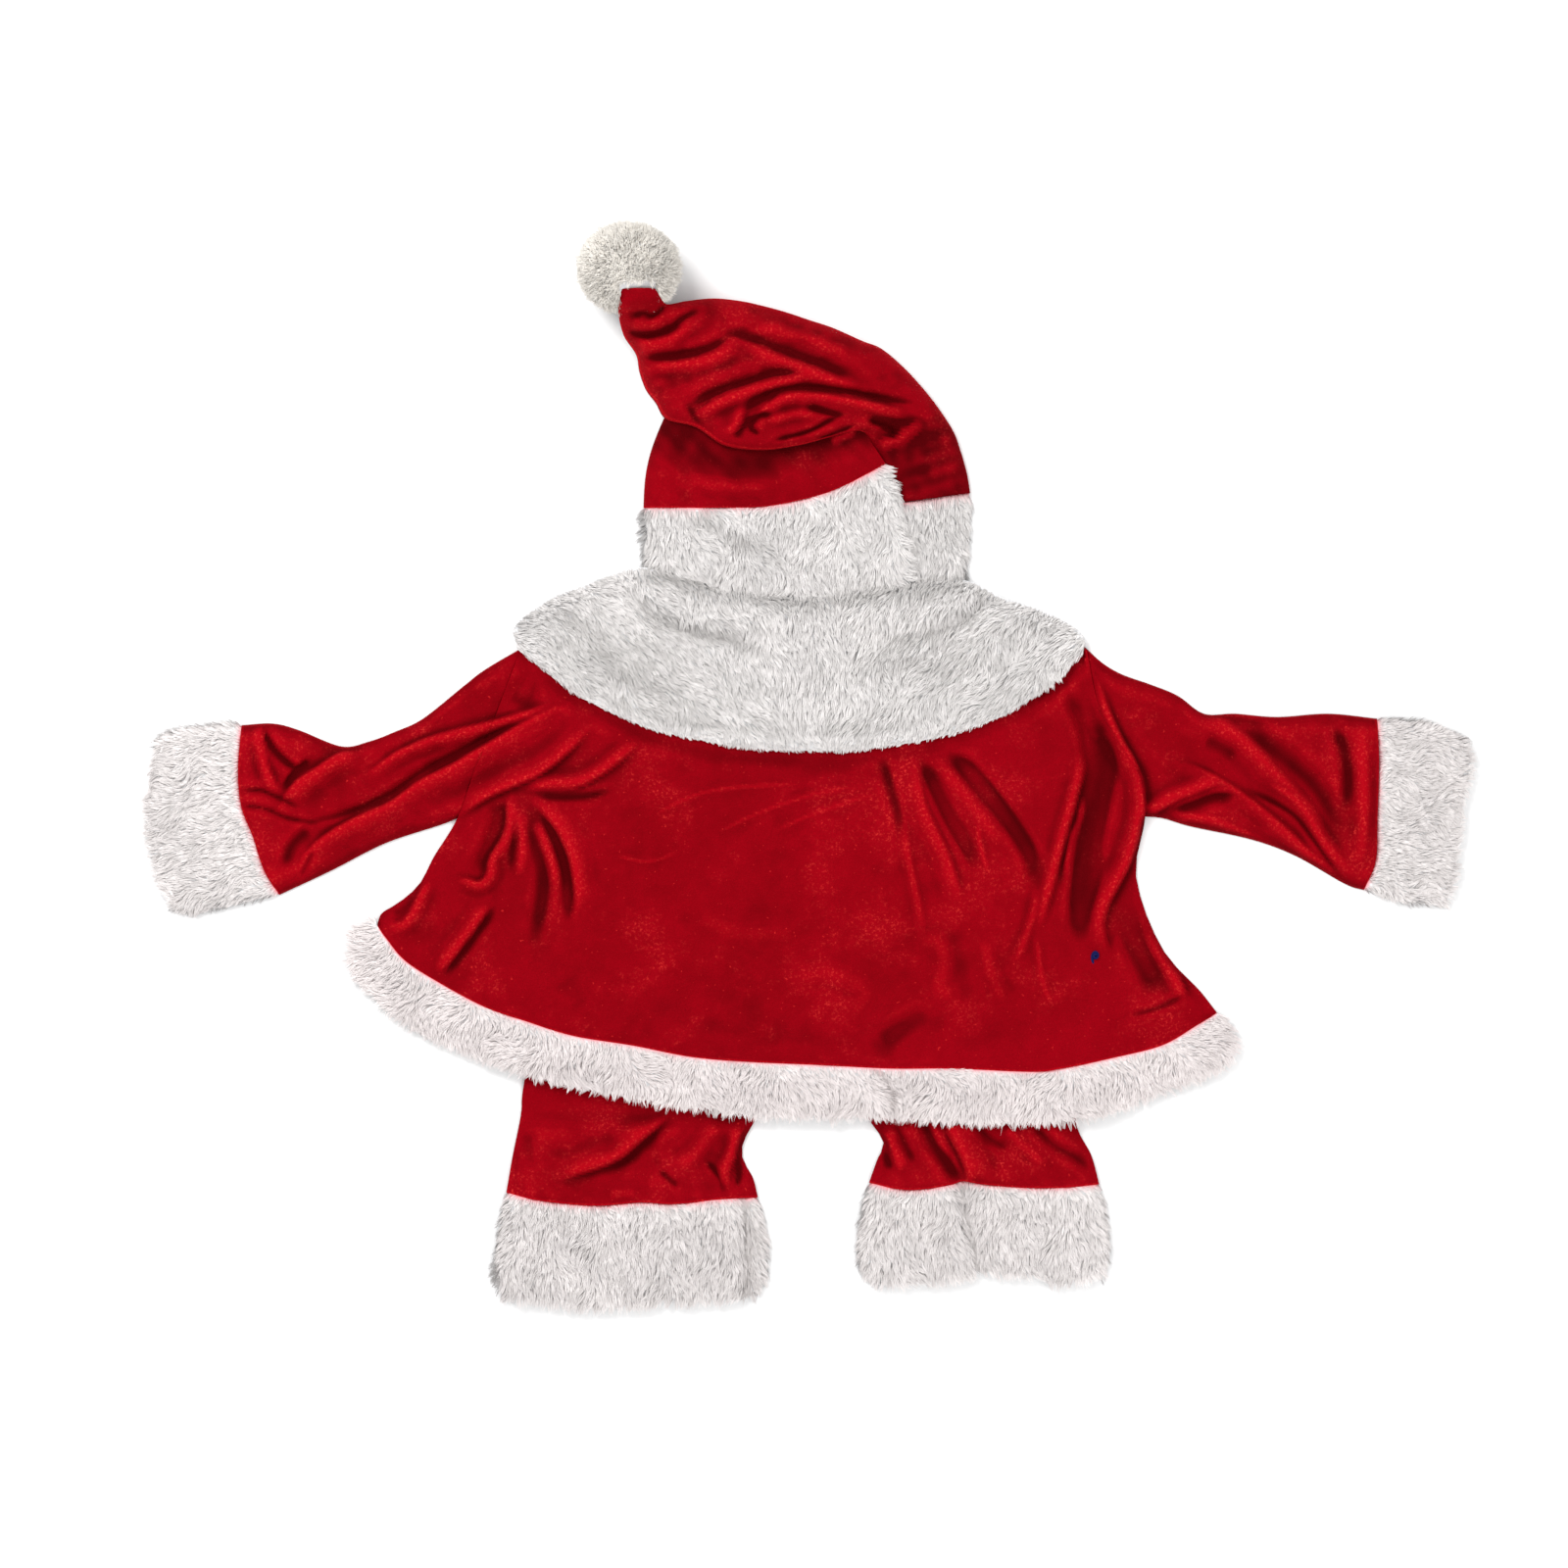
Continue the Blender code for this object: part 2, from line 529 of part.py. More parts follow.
def leg(side):
    """Front and back panels of one trouser leg and half of the hips, and its fur cuff."""
    edges = LEGS[side]
    across, down = even(10), even(14)
    seam = curve(edges["seam"], across)
    plan = patch(curve(edges["top"], across), seam, curve(edges["left"], down), curve(edges["right"], down),
                 across, down)
    layer(f"trouser_front_{side}", plan[::2, ::2], 0, VELVET_WALL, velvet(f"velvet_trouser_front_{side}"))
    past_hem = smooth((HEM_EDGE_Y - plan[..., 1]) / 12)
    sides = smooth(np.minimum(across, 1 - across) / 0.12)[None]
    to_seam = smooth((HEM_EDGE_Y - 14 - plan[..., 1]) / 18)
    lift = past_hem * (2 * sides + fold_height(plan, LEG_FOLDS[side]) * sides) + 1.2 * to_seam
    under = VELVET_WALL + LAYER_GAP + lift
    layer(f"trouser_back_{side}", plan, under, under + VELVET_WALL, velvet(f"velvet_trouser_back_{side}"))

    round_it = edged(10, 0.07)
    low_seam = curve(edges["seam"], round_it) - (0, 2 * SEAM_GAP)
    cuff_left, cuff_right = np.array(edges["cuff_left"], float), np.array(edges["cuff_right"], float)
    cuff_left[0], cuff_right[0] = low_seam[0], low_seam[-1]
    fur_cuff(f"trouser_cuff_{side}", cuff_left, cuff_right, low_seam, curve(edges["cuff_end"], round_it),
             round_it, CUFF_FOLDS[side])


def waist():
    """The elastic's casing round the waist, pressed flat."""
    left, right = WAIST_ENDS
    x = left + (right - left) * edged(8, 0.06)
    y = np.linspace(WAIST_TOP, WAIST_SEAM + SEAM_GAP, 3)
    plan = np.dstack(np.meshgrid(x, y))
    wall, gap = 1.3, 0.5
    flat_tube("trouser_waist", plan, 0, wall, wall + gap, 2 * wall + gap, velvet("velvet_waist"))


def hat():
    """The fur band, the crown above it, the tip that folds over the crown, and the pompom."""
    over_pleat, under_pleat = even(9), even(4)
    columns = np.vstack([curve(HAT_OVER_PLEAT, over_pleat), curve(HAT_UNDER_PLEAT, under_pleat)])
    seam, brim, height = columns[:, :2], columns[:, 2:4], columns[:, 4]
    rows = np.array([0, 0.15, 0.5, 0.85, 1])
    plan = seam[None] + (brim - seam)[None] * rows[:, None, None]
    rounding = np.array([0.72, 0.95, 1, 0.88, 0.58])[:, None]
    inner = HAT_BAND_INNER + FUR_INNER_GAP
    over = inner + (height - inner)[None] * rounding
    flat_tube("hat_band", plan, 0, HAT_BAND_INNER, inner, over, fur("fur_hat_band"))

    rows = np.array([0, 0.2, 0.45, 0.7, 1])
    low = seam + (0, HAT_SEAM_GAP)
    lip = curve(HAT_TIP, over_pleat, HAT_LIP_FROM)
    into = lip[:, 2:4] - lip[:, :2]
    into *= (lip[:, 6] / np.linalg.norm(into, axis=1))[:, None]
    high = np.vstack([lip[:, :2] + into - (0, HAT_LIP_GAP), curve(HAT_CROWN_RIGHT, under_pleat)])
    plan = low[None] + (high - low)[None] * rows[:, None, None]
    rounding = np.array([0.78, 0.86, 0.9, 0.88, 0.85])[:, None]
    layer("hat_crown", plan, 0, height[None] * rounding, velvet("velvet_hat_crown"))

    across = np.array([0.05, 0.16, 0.32, 0.5, 0.68, 0.84, 0.95])
    rings = []
    for row in curve(HAT_TIP, even(18) ** 1.3):
        low_edge, high_edge = row[:2], row[2:4]
        floor, top, lip, lip_under, lip_edge = np.maximum(row[4:], 0)
        way = (high_edge - low_edge) / np.linalg.norm(high_edge - low_edge)
        places = low_edge + (high_edge - low_edge) * across[:, None]
        arch = np.sin(across * math.pi) ** 0.55
        crease = fold_height(places, HAT_TIP_FOLDS) * smooth(np.minimum(across, 1 - across) / 0.2)
        ring = [(*(low_edge + way * lip), floor), (*(low_edge + way * lip), lip_under), (*low_edge, lip_edge)]
        ring += [(*place, lip_edge + (top - lip_edge) * a + c) for place, a, c in zip(places, arch, crease)]
        ring += [(*high_edge, floor + 0.35 * (top - floor)), (*(high_edge - way), floor)]
        ring += [(*((low_edge + high_edge) / 2), floor)]
        rings.append(ring)
    loft("hat_tip", rings, velvet("velvet_hat_tip"))
    pompom()


def tip_distance(place):
    """How far a point lies from the sewn end of the hat's tip."""
    near = []
    for row in HAT_TIP[:3]:
        start, end = np.array((*row[:2], row[5] - 3)), np.array((*row[2:4], row[5] - 3))
        t = np.clip((place - start) @ (end - start) / ((end - start) @ (end - start)), 0, 1)
        near.append(np.linalg.norm(place - start - t * (end - start)))
    return min(near)


def pompom():
    """A round core whose surface cells carry one four-sided lock of fur each, bare where the hat's tip is sewn on."""
    centre = np.array(POMPOM_CENTRE, float)
    cells = POMPOM_CELLS
    index, points, faces = {}, [], []

    def corner(axis, sign, i, j):
        flat = np.zeros(3)
        flat[axis] = sign
        flat[(axis + 1) % 3] = math.tan((i / cells - 0.5) * math.pi / 2)
        flat[(axis + 2) % 3] = math.tan((j / cells - 0.5) * math.pi / 2)
        out = flat / np.linalg.norm(flat)
        key = tuple(np.round(out, 5))
        if key not in index:
            index[key] = len(points)
            points.append(centre + POMPOM_CORE * out)
        return index[key]

    for axis in range(3):
        for sign in (-1, 1):
            for i in range(cells):
                for j in range(cells):
                    loop = [corner(axis, sign, *at) for at in ((i, j), (i + 1, j), (i + 1, j + 1), (i, j + 1))]
                    if sign < 0:
                        loop.reverse()
                    middle = np.mean([points[k] for k in loop], axis=0) - centre
                    out = middle / np.linalg.norm(middle)
                    from_tip = tip_distance(centre + POMPOM_REACH * 0.9 * out)
                    if from_tip < POMPOM_BARE:
                        faces += two_triangles(*loop)
                        continue
                    base = len(points)
                    for drawn_in, level in ((0.14, 1.0), (0.3, 0.6 * (POMPOM_REACH - POMPOM_CORE))):
                        if from_tip < POMPOM_PRESSED:
                            level = min(level, 1.6)
                        for k in loop:
                            way = points[k] - centre
                            near = way + drawn_in * (middle - way)
                            points.append(centre + (POMPOM_CORE + level) * near / np.linalg.norm(near))
                    lean = np.array([math.sin(9 * out[1] + i), math.cos(7 * out[0] + j), math.sin(8 * out[2])])
                    reach = POMPOM_REACH - 1.2 * (1 + math.sin(5 * i + 3 * j + 2 * axis + sign)) / 2
                    if from_tip < POMPOM_PRESSED:
                        reach = POMPOM_CORE + 2.5
                    tip = centre + reach * (out + 0.12 * lean) / np.linalg.norm(out + 0.12 * lean)
                    tip[2] = max(tip[2], 0.5)
                    points.append(tip)
                    for k in range(4):
                        n = (k + 1) % 4
                        faces += two_triangles(loop[k], loop[n], base + n, base + k)
                        faces += two_triangles(base + k, base + n, base + 4 + n, base + 4 + k)
                        faces.append((base + 4 + k, base + 4 + n, base + 8))
    solid("hat_pompom", points, faces, fur("fur_pompom"))


def clear():
    for thing in list(bpy.data.objects):
        bpy.data.objects.remove(thing, do_unlink=True)


def main():
    clear()
    jacket()
    cape()
    waist()
    for side in ("left", "right"):
        sleeve(side)
        leg(side)
    hat()


main()
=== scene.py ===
"""Looks of a toddler's santa suit laid flat, back side up: velvet, plush fur, pompom.

The tables are in millimetres on the surface that the suit lies on, as in the part itself: x
runs across the jacket, y from the trouser cuffs up to the hat, and z up. Left and right are
those of the picture seen from above.
"""

import math

import bpy
import numpy as np
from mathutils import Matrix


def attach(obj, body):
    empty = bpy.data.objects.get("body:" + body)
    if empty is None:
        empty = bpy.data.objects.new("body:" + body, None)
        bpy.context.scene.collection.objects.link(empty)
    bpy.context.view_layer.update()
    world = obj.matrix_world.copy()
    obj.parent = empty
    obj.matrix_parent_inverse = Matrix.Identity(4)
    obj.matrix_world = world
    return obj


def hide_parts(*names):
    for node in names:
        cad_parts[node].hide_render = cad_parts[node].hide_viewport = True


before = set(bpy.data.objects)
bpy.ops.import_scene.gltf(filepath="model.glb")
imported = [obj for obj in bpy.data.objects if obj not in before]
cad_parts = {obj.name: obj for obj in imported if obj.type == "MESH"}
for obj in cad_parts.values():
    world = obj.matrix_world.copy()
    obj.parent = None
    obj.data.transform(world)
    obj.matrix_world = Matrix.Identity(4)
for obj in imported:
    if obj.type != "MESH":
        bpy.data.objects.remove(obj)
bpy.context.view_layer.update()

MM = 0.001
LAY_CENTRE = (-0.35, 0.28)

# The photograph's frame on the surface, seen straight from above.
FRAME_WIDTH = 960
FRAME_CENTRE = (-15, -12)
CAMERA_HEIGHT = 8000
SENSOR = 36

VELVET_WALL = 1.5
LAYER_GAP = 0.5
SEAM_GAP = 0.45
FUR_UNDER = 3.0
FUR_INNER_GAP = 0.6
CAPE_CLEARANCE = 1.2
CAPE_EDGE_LIFT = 3.7
FLOOR_GAP = 0.25
FUR_SEAM = 0.15
# Relief set on a velvet edge row: a painted highlight along seams and along the hat tip's lip.
PAINTED_EDGE_HIGHLIGHT = 0.85
SHARP_CREASE = 5
ARMHOLE_SHARE = 9 / 20
THIN_WALL = 1.2
CAPE_WALL = 1.4
BAND_WALL = 1.3
WAIST_WALL = 1.1

# How fur strands vary, first from tuft to tuft and then from strand to strand.
TURN_SPREADS = (0.17, 0.12)
LENGTH_RANGES = ((0.78, 1.12), (0.75, 1.15))
RISE_RANGES = ((0.75, 1.2), (0.8, 1.2))
TONE_RANGES = ((-0.46, 0.2), (-0.12, 0.08))
STRAND_WIDTH = 0.5
STRAND_TWIST = 0.3
# What a strand's tone gains at its five corners, from root to tip: painted shade, darkest at the root.
TONE_GAINS = (0.25, 0.25, 0.78, 0.78, 1.0)

THREAD_PLACE = (175, -118)

# What lies under the jacket lifts it: columns are y, left x and right x of the lifted part.
LIFTED_TOP = (84, -152, 146)
LIFTED_LOW = (-216, -190, 181)
LIFT = 3.8
LIFT_RAMP = 24

# Jacket outline, from the shoulder tip down the armhole and side to the hem: x, y.
JACKET_LEFT = [
    (-176, 71), (-190, 34), (-203, 0), (-215, -33), (-229, -56),
    (-238, -73), (-250, -84), (-261, -91), (-264, -98),
]
JACKET_RIGHT = [
    (170, 71), (178, 34), (192, 11), (203, -8), (206, -32),
    (201, -57), (201, -72), (208, -95), (220, -118), (239, -138), (250, -152),
]
UNDERARM_LEFT = 3
UNDERARM_RIGHT = 4
# Shoulders and neck, hidden by the cape: x, y from left to right.
JACKET_TOP = [
    (-176, 71), (-153, 88), (-129, 100), (-99, 106), (-51, 99), (0, 94),
    (51, 99), (96, 104), (126, 91), (150, 81), (170, 71),
]

# Hem band: seam x, seam y, outer edge x, outer edge y, from left to right.
HEM = [
    (-264, -98, -265.5, -92.5), (-262, -101.5, -277.5, -100.5), (-258, -107, -284, -112),
    (-247, -120, -279, -131), (-227, -133, -254, -157), (-199, -148, -222, -174), (-173, -157, -186, -188),
    (-144, -166, -152, -197), (-107, -172, -111, -206), (-71, -179, -73, -212),
    (-34, -182, -34, -217), (11, -184, 12, -218), (50, -186, 50, -218),
    (88, -186, 88, -221), (136, -188, 132, -221), (155, -186, 162, -220),
    (184, -180, 193, -212), (216, -172, 227, -198), (237, -160, 256, -187),
    (247, -154, 263, -174), (250, -152, 257, -158),
]

# Cape back: upper edge x, y and lower edge x, y, from left to right.
CAPE = [
    (-182, 79, -182, 74), (-179, 86, -170, 64), (-168, 95, -155, 52),
    (-155, 103, -142, 42), (-139, 109, -121, 31), (-121, 116, -95, 20),
    (-100, 120.5, -64, 13), (-75, 113.7, -48, 10), (-48, 107.7, -30, 8),
    (-24, 103.8, -12, 7), (4, 103.8, 6, 7), (30, 106.7, 24, 7),
    (63, 111.7, 44, 9), (96, 112.5, 74, 14), (121, 101, 105, 23),
    (135, 97, 128, 34), (156, 88, 152, 52), (167, 80, 164, 65), (170, 73, 169, 70),
]
# Cape fronts, under the jacket: the same columns, for each side.
CAPE_FRONTS = {
    "left": [(-140, 102, -138, 62), (-118, 109, -105, 45), (-92, 112, -65, 33),
             (-52, 96, -32, 28), (-3, 84, -3, 27)],
    "right": [(3, 84, 3, 27), (48, 96, 30, 28), (86, 107, 62, 33),
              (112, 100, 98, 45), (134, 91, 130, 60)],
}

# Sleeves: edges from the armhole to the cuff seam, the seam, and the cuff's own edges.
SLEEVES = {
    "left": {
        "top": [(-176.5, 71.5), (-198, 58), (-211, 48), (-236, 28), (-253, 20),
                (-269, 14), (-286, 11), (-312, 21), (-328, 25), (-347, 24)],
        "bottom": [(-215.5, -33), (-225, -37), (-253, -46), (-269, -53), (-292, -65), (-324, -80)],
        "seam": [(-347, 24), (-349, -4), (-347, -26), (-340, -44), (-333, -65), (-324, -80)],
        "cuff_top": [(-348, 25), (-357, 26), (-380, 24), (-393, 21), (-401, 16)],
        "cuff_end": [(-401, 16), (-407, -14), (-408, -37), (-404, -62), (-397, -82), (-391, -91)],
        "cuff_bottom": [(-325, -81), (-351, -87), (-379, -93), (-391, -91)],
    },
    "right": {
        "top": [(170.5, 71.5), (180, 62), (192, 55), (209, 49), (226, 42),
                (242, 31), (261, 31), (287, 29), (318, 31), (348, 28)],
        "bottom": [(209.5, -32), (217, -33), (234, -38), (271, -46), (298, -56), (328, -73), (340, -77)],
        "seam": [(348, 28), (349, 0), (348, -34), (347, -59), (340, -77)],
        "cuff_top": [(349, 29), (372, 28), (389, 24), (403, 17)],
        "cuff_end": [(403, 17), (408, 2), (403, -25), (400, -50), (396, -78), (391, -89)],
        "cuff_bottom": [(341, -78), (364, -86), (391, -89)],
    },
}

WAIST_TOP = 21
WAIST_SEAM = 9
WAIST_ENDS = (-112, 109)
HEM_EDGE_Y = -222
# Trousers: outer and inner leg edges from the waist down, the cuff seam, the cuff's own edges.
LEGS = {
    "left": {
        "left": [(-111, 9), (-135, -42), (-159, -120), (-174, -194), (-176, -214),
                 (-181, -239), (-185, -262)],
        "right": [(-2, 9), (-2, -108), (-6, -174), (-31, -215), (-40, -232),
                  (-40, -242), (-34, -253), (-31, -265)],
        "top": [(-111, 9), (-60, 9), (-2, 9)],
        "seam": [(-185, -262), (-164, -267), (-131, -270), (-103, -268), (-82, -269),
                 (-53, -266), (-31, -265)],
        "cuff_left": [(-185.5, -263), (-190, -285), (-193, -311), (-189, -328)],
        "cuff_right": [(-30.5, -266), (-27, -278), (-24, -298), (-25, -315), (-31, -327)],
        "cuff_end": [(-189, -328), (-168, -331), (-129, -335), (-90, -332), (-43, -329), (-31, -327)],
    },
    "right": {
        "left": [(2, 9), (2, -108), (8, -180), (38, -219), (46, -232), (42, -242), (37, -256)],
        "right": [(108, 9), (129, -42), (150, -120), (162, -194), (164, -221),
                  (173, -239), (178, -257)],
        "top": [(2, 9), (55, 9), (108, 9)],
        "seam": [(37, -256), (55, -260), (70, -260), (88, -257), (94, -255), (107, -257),
                 (131, -259), (156, -259), (178, -257)],
        "cuff_left": [(36.5, -257), (33, -272), (29, -296), (31, -312), (38, -320)],
        "cuff_right": [(178.5, -258), (182, -272), (185, -296), (182, -315)],
        "cuff_end": [(38, -320), (53, -321), (70, -319), (95, -316), (103, -311), (112, -313),
                     (131, -314), (156, -319), (182, -315)],
    },
}

# Hat band and crown, by columns from left to right. The first table is left of the pleat and
# on top, the second right of it. Columns: seam x, seam y, brim x, brim y, height.
HAT_OVER_PLEAT = [
    (-101, 157, -101, 122, 8), (-81, 157, -75, 115, 12.5), (-52, 157, -48, 109, 13.5),
    (-25, 158, -24, 105, 13.5), (4, 164, 4, 105, 13.5), (25, 172, 30, 108, 13.5),
    (47, 184, 63, 113, 13.5),
]
HAT_UNDER_PLEAT = [(58, 160, 67, 113.5, 9.5), (78, 163, 81, 114, 9.5), (99, 166, 97, 115, 7)]
# Folded tip from the pompom to the seam right of the pleat: lower edge x, y, upper edge x, y,
# underside z, top z, and the edge z of its lower lip.
HAT_TIP = [
    (-114, 289, -93, 289, 50.5, 57, 54),
    (-116, 280, -90, 284, 43, 52, 47),
    (-115.5, 271.5, -86, 280.5, 30, 43, 35),
    (-112.5, 261, -75, 283, 12, 34, 19),
    (-105.5, 250.5, -58, 285, 1, 28, 9),
    (-103.5, 240, -42, 283.5, 0.5, 25.5, 7),
    (-99.5, 229, -30, 281, 0, 24, 6),
    (-93.5, 221, -15, 277, 0, 24, 6.5),
    (-87, 211, 0, 272, 0, 24, 8),
    (-69, 206, 15, 267, 0, 25, 15.5),
    (-52, 195, 33, 259, 0, 26, 16.5),
    (-29, 192, 45, 254, 0, 26, 16.5),
    (-6, 195, 60, 241, 0, 24, 16.5),
    (13, 200, 75, 224, 0, 19, 16),
    (31, 204, 88, 205, 0, 14, 12),
    (38, 196, 93, 192, 0, 11.5, 8),
    (46, 180, 97, 178, 0, 10, 6.5),
    (55, 160, 99, 166, 0, 8.4, 6),
]

POMPOM_CENTRE = (-109.5, 302.5, 31.6)
POMPOM_CORE = (28, 24.5, 26.5)
TIP_LIP = (8, 14)

# Folds: height, half-width left and right of the line's direction, then the line's points.
# A fold below zero is a crease: it drops to a sharp bottom. A narrow side is a fold's lip.
BODY_FOLDS = [
    # The left sleeve's lower roll running on over the body, and the roll under it.
    (5, 14, 3, [(-213, -30), (-196, -19), (-178, -11), (-163, -4), (-148, 8), (-132, 24)]),
    (4.5, 10, 3, [(-172, -14), (-156, -13), (-141, -12), (-127, -5), (-115, 4), (-101, 16)]),
    (-3, 3.5, 5, [(-166, -19), (-150, -20), (-134, -19), (-120, -15)]),
    # Creases fanning out from the left underarm.
    (5, 8, 3, [(-183, -22), (-183, -39), (-188, -49), (-194, -57), (-195, -67), (-201, -73),
               (-210, -71), (-218, -72)]),
    (-3.5, 4, 12, [(-187, -22), (-188, -36), (-193, -49), (-199, -61), (-201, -69)]),
    (2.5, 7, 3, [(-176, -30), (-175.5, -49), (-178, -70)]),
    (-2.5, 4, 5, [(-181, -28), (-181, -50), (-183, -66)]),
    (-3, 8, 9, [(-171, -26), (-166, -49), (-162, -67), (-164, -91), (-170, -113)]),
    (3.5, 5, 8, [(-166, -34), (-156, -61), (-154, -78)]),
    (3.2, 14, 4, [(-163, -26), (-151, -41), (-144, -58), (-141, -76), (-140, -92)]),
    (-4, 4, 9, [(-167, -27), (-156, -43), (-149, -60), (-146, -78), (-147, -100)]),
    (3.5, 3, 12, [(-196, -86), (-203, -97), (-217, -116), (-228, -129)]),
    (-3, 6, 4, [(-192, -88), (-199, -98), (-213, -117), (-224, -130)]),
    (3.5, 8, 3, [(-234, -70), (-238, -82), (-244, -93), (-250, -98), (-258, -97)]),
    (-3, 4, 5, [(-243, -74), (-245, -83), (-250, -89), (-256, -90)]),
    # Folds hanging from the cape on the right.
    (-3, 6, 8, [(44, 8), (47, -2), (51, -17), (56, -32), (59, -48)]),
    (1.5, 3, 6, [(57, -20), (60, -49), (65, -74), (69, -95), (70, -108)]),
    (3, 3.5, 13, [(64, 2), (70, -24), (76, -38), (84, -55), (89, -70), (94, -88)]),
    (-3.5, 10, 5, [(69, 4), (77, -16), (86, -34), (95, -50), (102, -66)]),
    (2, 6, 8, [(80, 2), (95, -18), (108, -36), (118, -52)]),
    (-5, 9, 9, [(84, 10), (99, -5), (115, -24), (128, -42), (136, -57), (139, -78)]),
    (4, 3.5, 8, [(168, 2), (165, -14), (158, -36), (153, -55), (147, -78), (142, -95), (139, -106)]),
    (-3, 5, 4, [(170, -8), (166, -17), (162, -36), (157, -55), (154, -77)]),
    (2, 4, 4, [(140, -76), (136, -95), (131, -110), (125, -123)]),
    (2.2, 3, 3, [(163, -36), (159, -50), (156, -70)]),
    (1.6, 3, 3, [(103, -36), (105, -50), (110, -67)]),
    # The big fold down the right side, lapped over the skirt below it.
    (-6.5, 13, 11, [(179, 18), (180, -3), (176, -26), (171, -48), (168, -72), (166, -92), (166, -112)]),
    (-2.5, 13, 13, [(190, -88), (199, -108), (206, -124), (212, -142)]),
    (-3, 8, 8, [(157, 46), (166, 28), (171, 10), (171, -10), (168, -30)]),
    (7, 3.5, 12, [(176, 52), (182, 34), (190, 16), (199, 0), (204, -16), (203, -38), (196, -58),
                    (188, -74), (181, -88), (178, -100), (180, -113)]),
    (-3, 7, 3.5, [(200, -62), (192, -80), (185, -94), (184, -104), (186, -117)]),
    (4.5, 3, 10, [(211, -98), (218, -113), (224, -126), (229, -139), (231, -146)]),
    (-3.5, 5, 3, [(215, -98), (222, -112), (228, -125), (233, -139)]),
    (-2, 4, 4, [(231, -141), (214, -149), (195, -154)]),
    # Faint creases and soft hollows.
    (1.2, 2.2, 3, [(-97, -32), (-67, -18), (-34, -13), (6, -12)]),
    (1.1, 2.2, 3, [(-58, -43), (-34, -31), (-15, -24), (4, -18), (19, -15), (38, -13)]),
    (1.1, 2.2, 3, [(-23, -42), (-4, -33), (21, -24), (43, -17)]),
    (0.9, 2.2, 3, [(-118, -56), (-96, -59), (-78, -52)]),
    (1.3, 2.5, 4, [(140, -106), (143, -130), (150, -149)]),
    (1.5, 8, 8, [(107, -106), (112, -128), (122, -148)]),
    (-1.6, 14, 14, [(40, -180), (59, -164), (92, -152)]),
    (-1.5, 12, 12, [(88, -98), (92, -125), (98, -150)]),
    (-1.2, 14, 14, [(-150, -130), (-135, -150)]),
    (1.2, 12, 12, [(-70, -90), (-40, -105), (0, -100)]),
    (1.4, 9, 10, [(64, -112), (78, -108), (84, -120), (80, -136), (96, -142)]),
    (1.2, 10, 9, [(-10, -132), (14, -128), (34, -140), (20, -154)]),
    (-1.6, 10, 10, [(44, -170), (58, -160), (76, -150)]),
    (-1.2, 16, 16, [(-20, -150), (-60, -140), (-100, -150)]),
]
# Painted shade in the big valley on the right and beside it, on the left side, below the cape and above the
# hem: share of a full crease's darkening.
BODY_SHADES = [
    (-0.6, 14, 12, [(180, 40), (180, -3), (176, -26), (171, -48), (168, -72), (166, -92), (166, -114)]),
    (-0.35, 18, 16, [(192, -84), (201, -108), (208, -128), (214, -150)]),
    (-0.3, 15, 15, [(-158, -60), (-163, -85), (-164, -110), (-160, -138)]),
    (-0.3, 14, 14, [(-130, 20), (-90, 6), (-40, -4), (10, -6), (60, -4), (110, 8), (150, 30)]),
    (-0.3, 20, 20, [(110, 0), (128, -30), (140, -60)]),
    (-0.22, 18, 14, [(-120, -150), (-60, -158), (-20, -164), (30, -170), (90, -166), (150, -162)]),
]
SLEEVE_FOLDS = {
    "left": [
        (5, 9, 3, [(-158, 36), (-186, 27), (-210, 21), (-232, 15), (-252, 6), (-266, -4), (-277, -9)]),
        (7, 18, 3, [(-154, 34), (-178, 22), (-197, 11), (-217, -1), (-237, -11), (-255, -24),
                    (-273, -32), (-290, -41), (-302, -50), (-310, -60), (-311, -72)]),
        (-3, 3, 6, [(-174, 29), (-196, 17), (-216, 6), (-236, -4), (-254, -17), (-272, -26),
                    (-289, -32), (-302, -35), (-315, -42)]),
        (6, 3, 14, [(-321, -22), (-313, -12), (-300, -3), (-287, 5), (-275, 7)]),
        (-5, 4, 5, [(-334, 20), (-325, 7), (-316, -1), (-310, -4)]),
        (-4, 6, 3, [(-306, 3), (-316, -6), (-321, -15)]),
        (4, 3, 7, [(-336, 23), (-334, 8), (-331, -4), (-324, -18)]),
        (-2.5, 3.5, 3.5, [(-348, -16), (-335, -16), (-325, -20), (-310, -27)]),
        (-2.5, 3.5, 3.5, [(-348, -25), (-333, -27), (-318, -33), (-299, -36)]),
        (-3.5, 8, 6, [(-305, -39), (-316, -50), (-321, -64)]),
        (-2, 4, 4, [(-303, -53), (-311, -69)]),
        (-3, 12, 12, [(-164, 62), (-172, 46), (-177, 32)]),
    ],
    "right": [
        (5, 6, 14, [(243, 31), (254, 24), (271, 10), (284, -4), (296, -16), (306, -28), (315, -44),
                    (325, -60), (331, -71)]),
        (-4.5, 12, 7, [(266, 26), (281, 13), (295, 1), (309, -12), (320, -28), (328, -43)]),
        (3.5, 3, 10, [(230, 0), (247, -7), (263, -17), (279, -29), (294, -42), (308, -56), (326, -72)]),
        (-3.5, 4, 3, [(270, -16), (288, -25), (299, -33), (309, -46), (319, -60), (328, -70)]),
        (2, 3, 4, [(282, -12), (297, -21), (306, -32), (314, -46), (323, -59)]),
        (4.5, 10, 3, [(204, -31), (212, -28), (224, -21), (237, -16), (253, -10)]),
        (-3.5, 3, 9, [(224, -28), (238, -23), (250, -19), (263, -19)]),
        (2, 4, 5, [(220, -30), (247, -34), (264, -41), (283, -50)]),
        (-4, 7, 8, [(322, 24), (328, 8), (330, -10), (328, -32)]),
        (3, 6, 8, [(338, 24), (340, -17), (338, -64)]),
        (-1.5, 8, 8, [(242, 15), (263, 5)]),
    ],
}
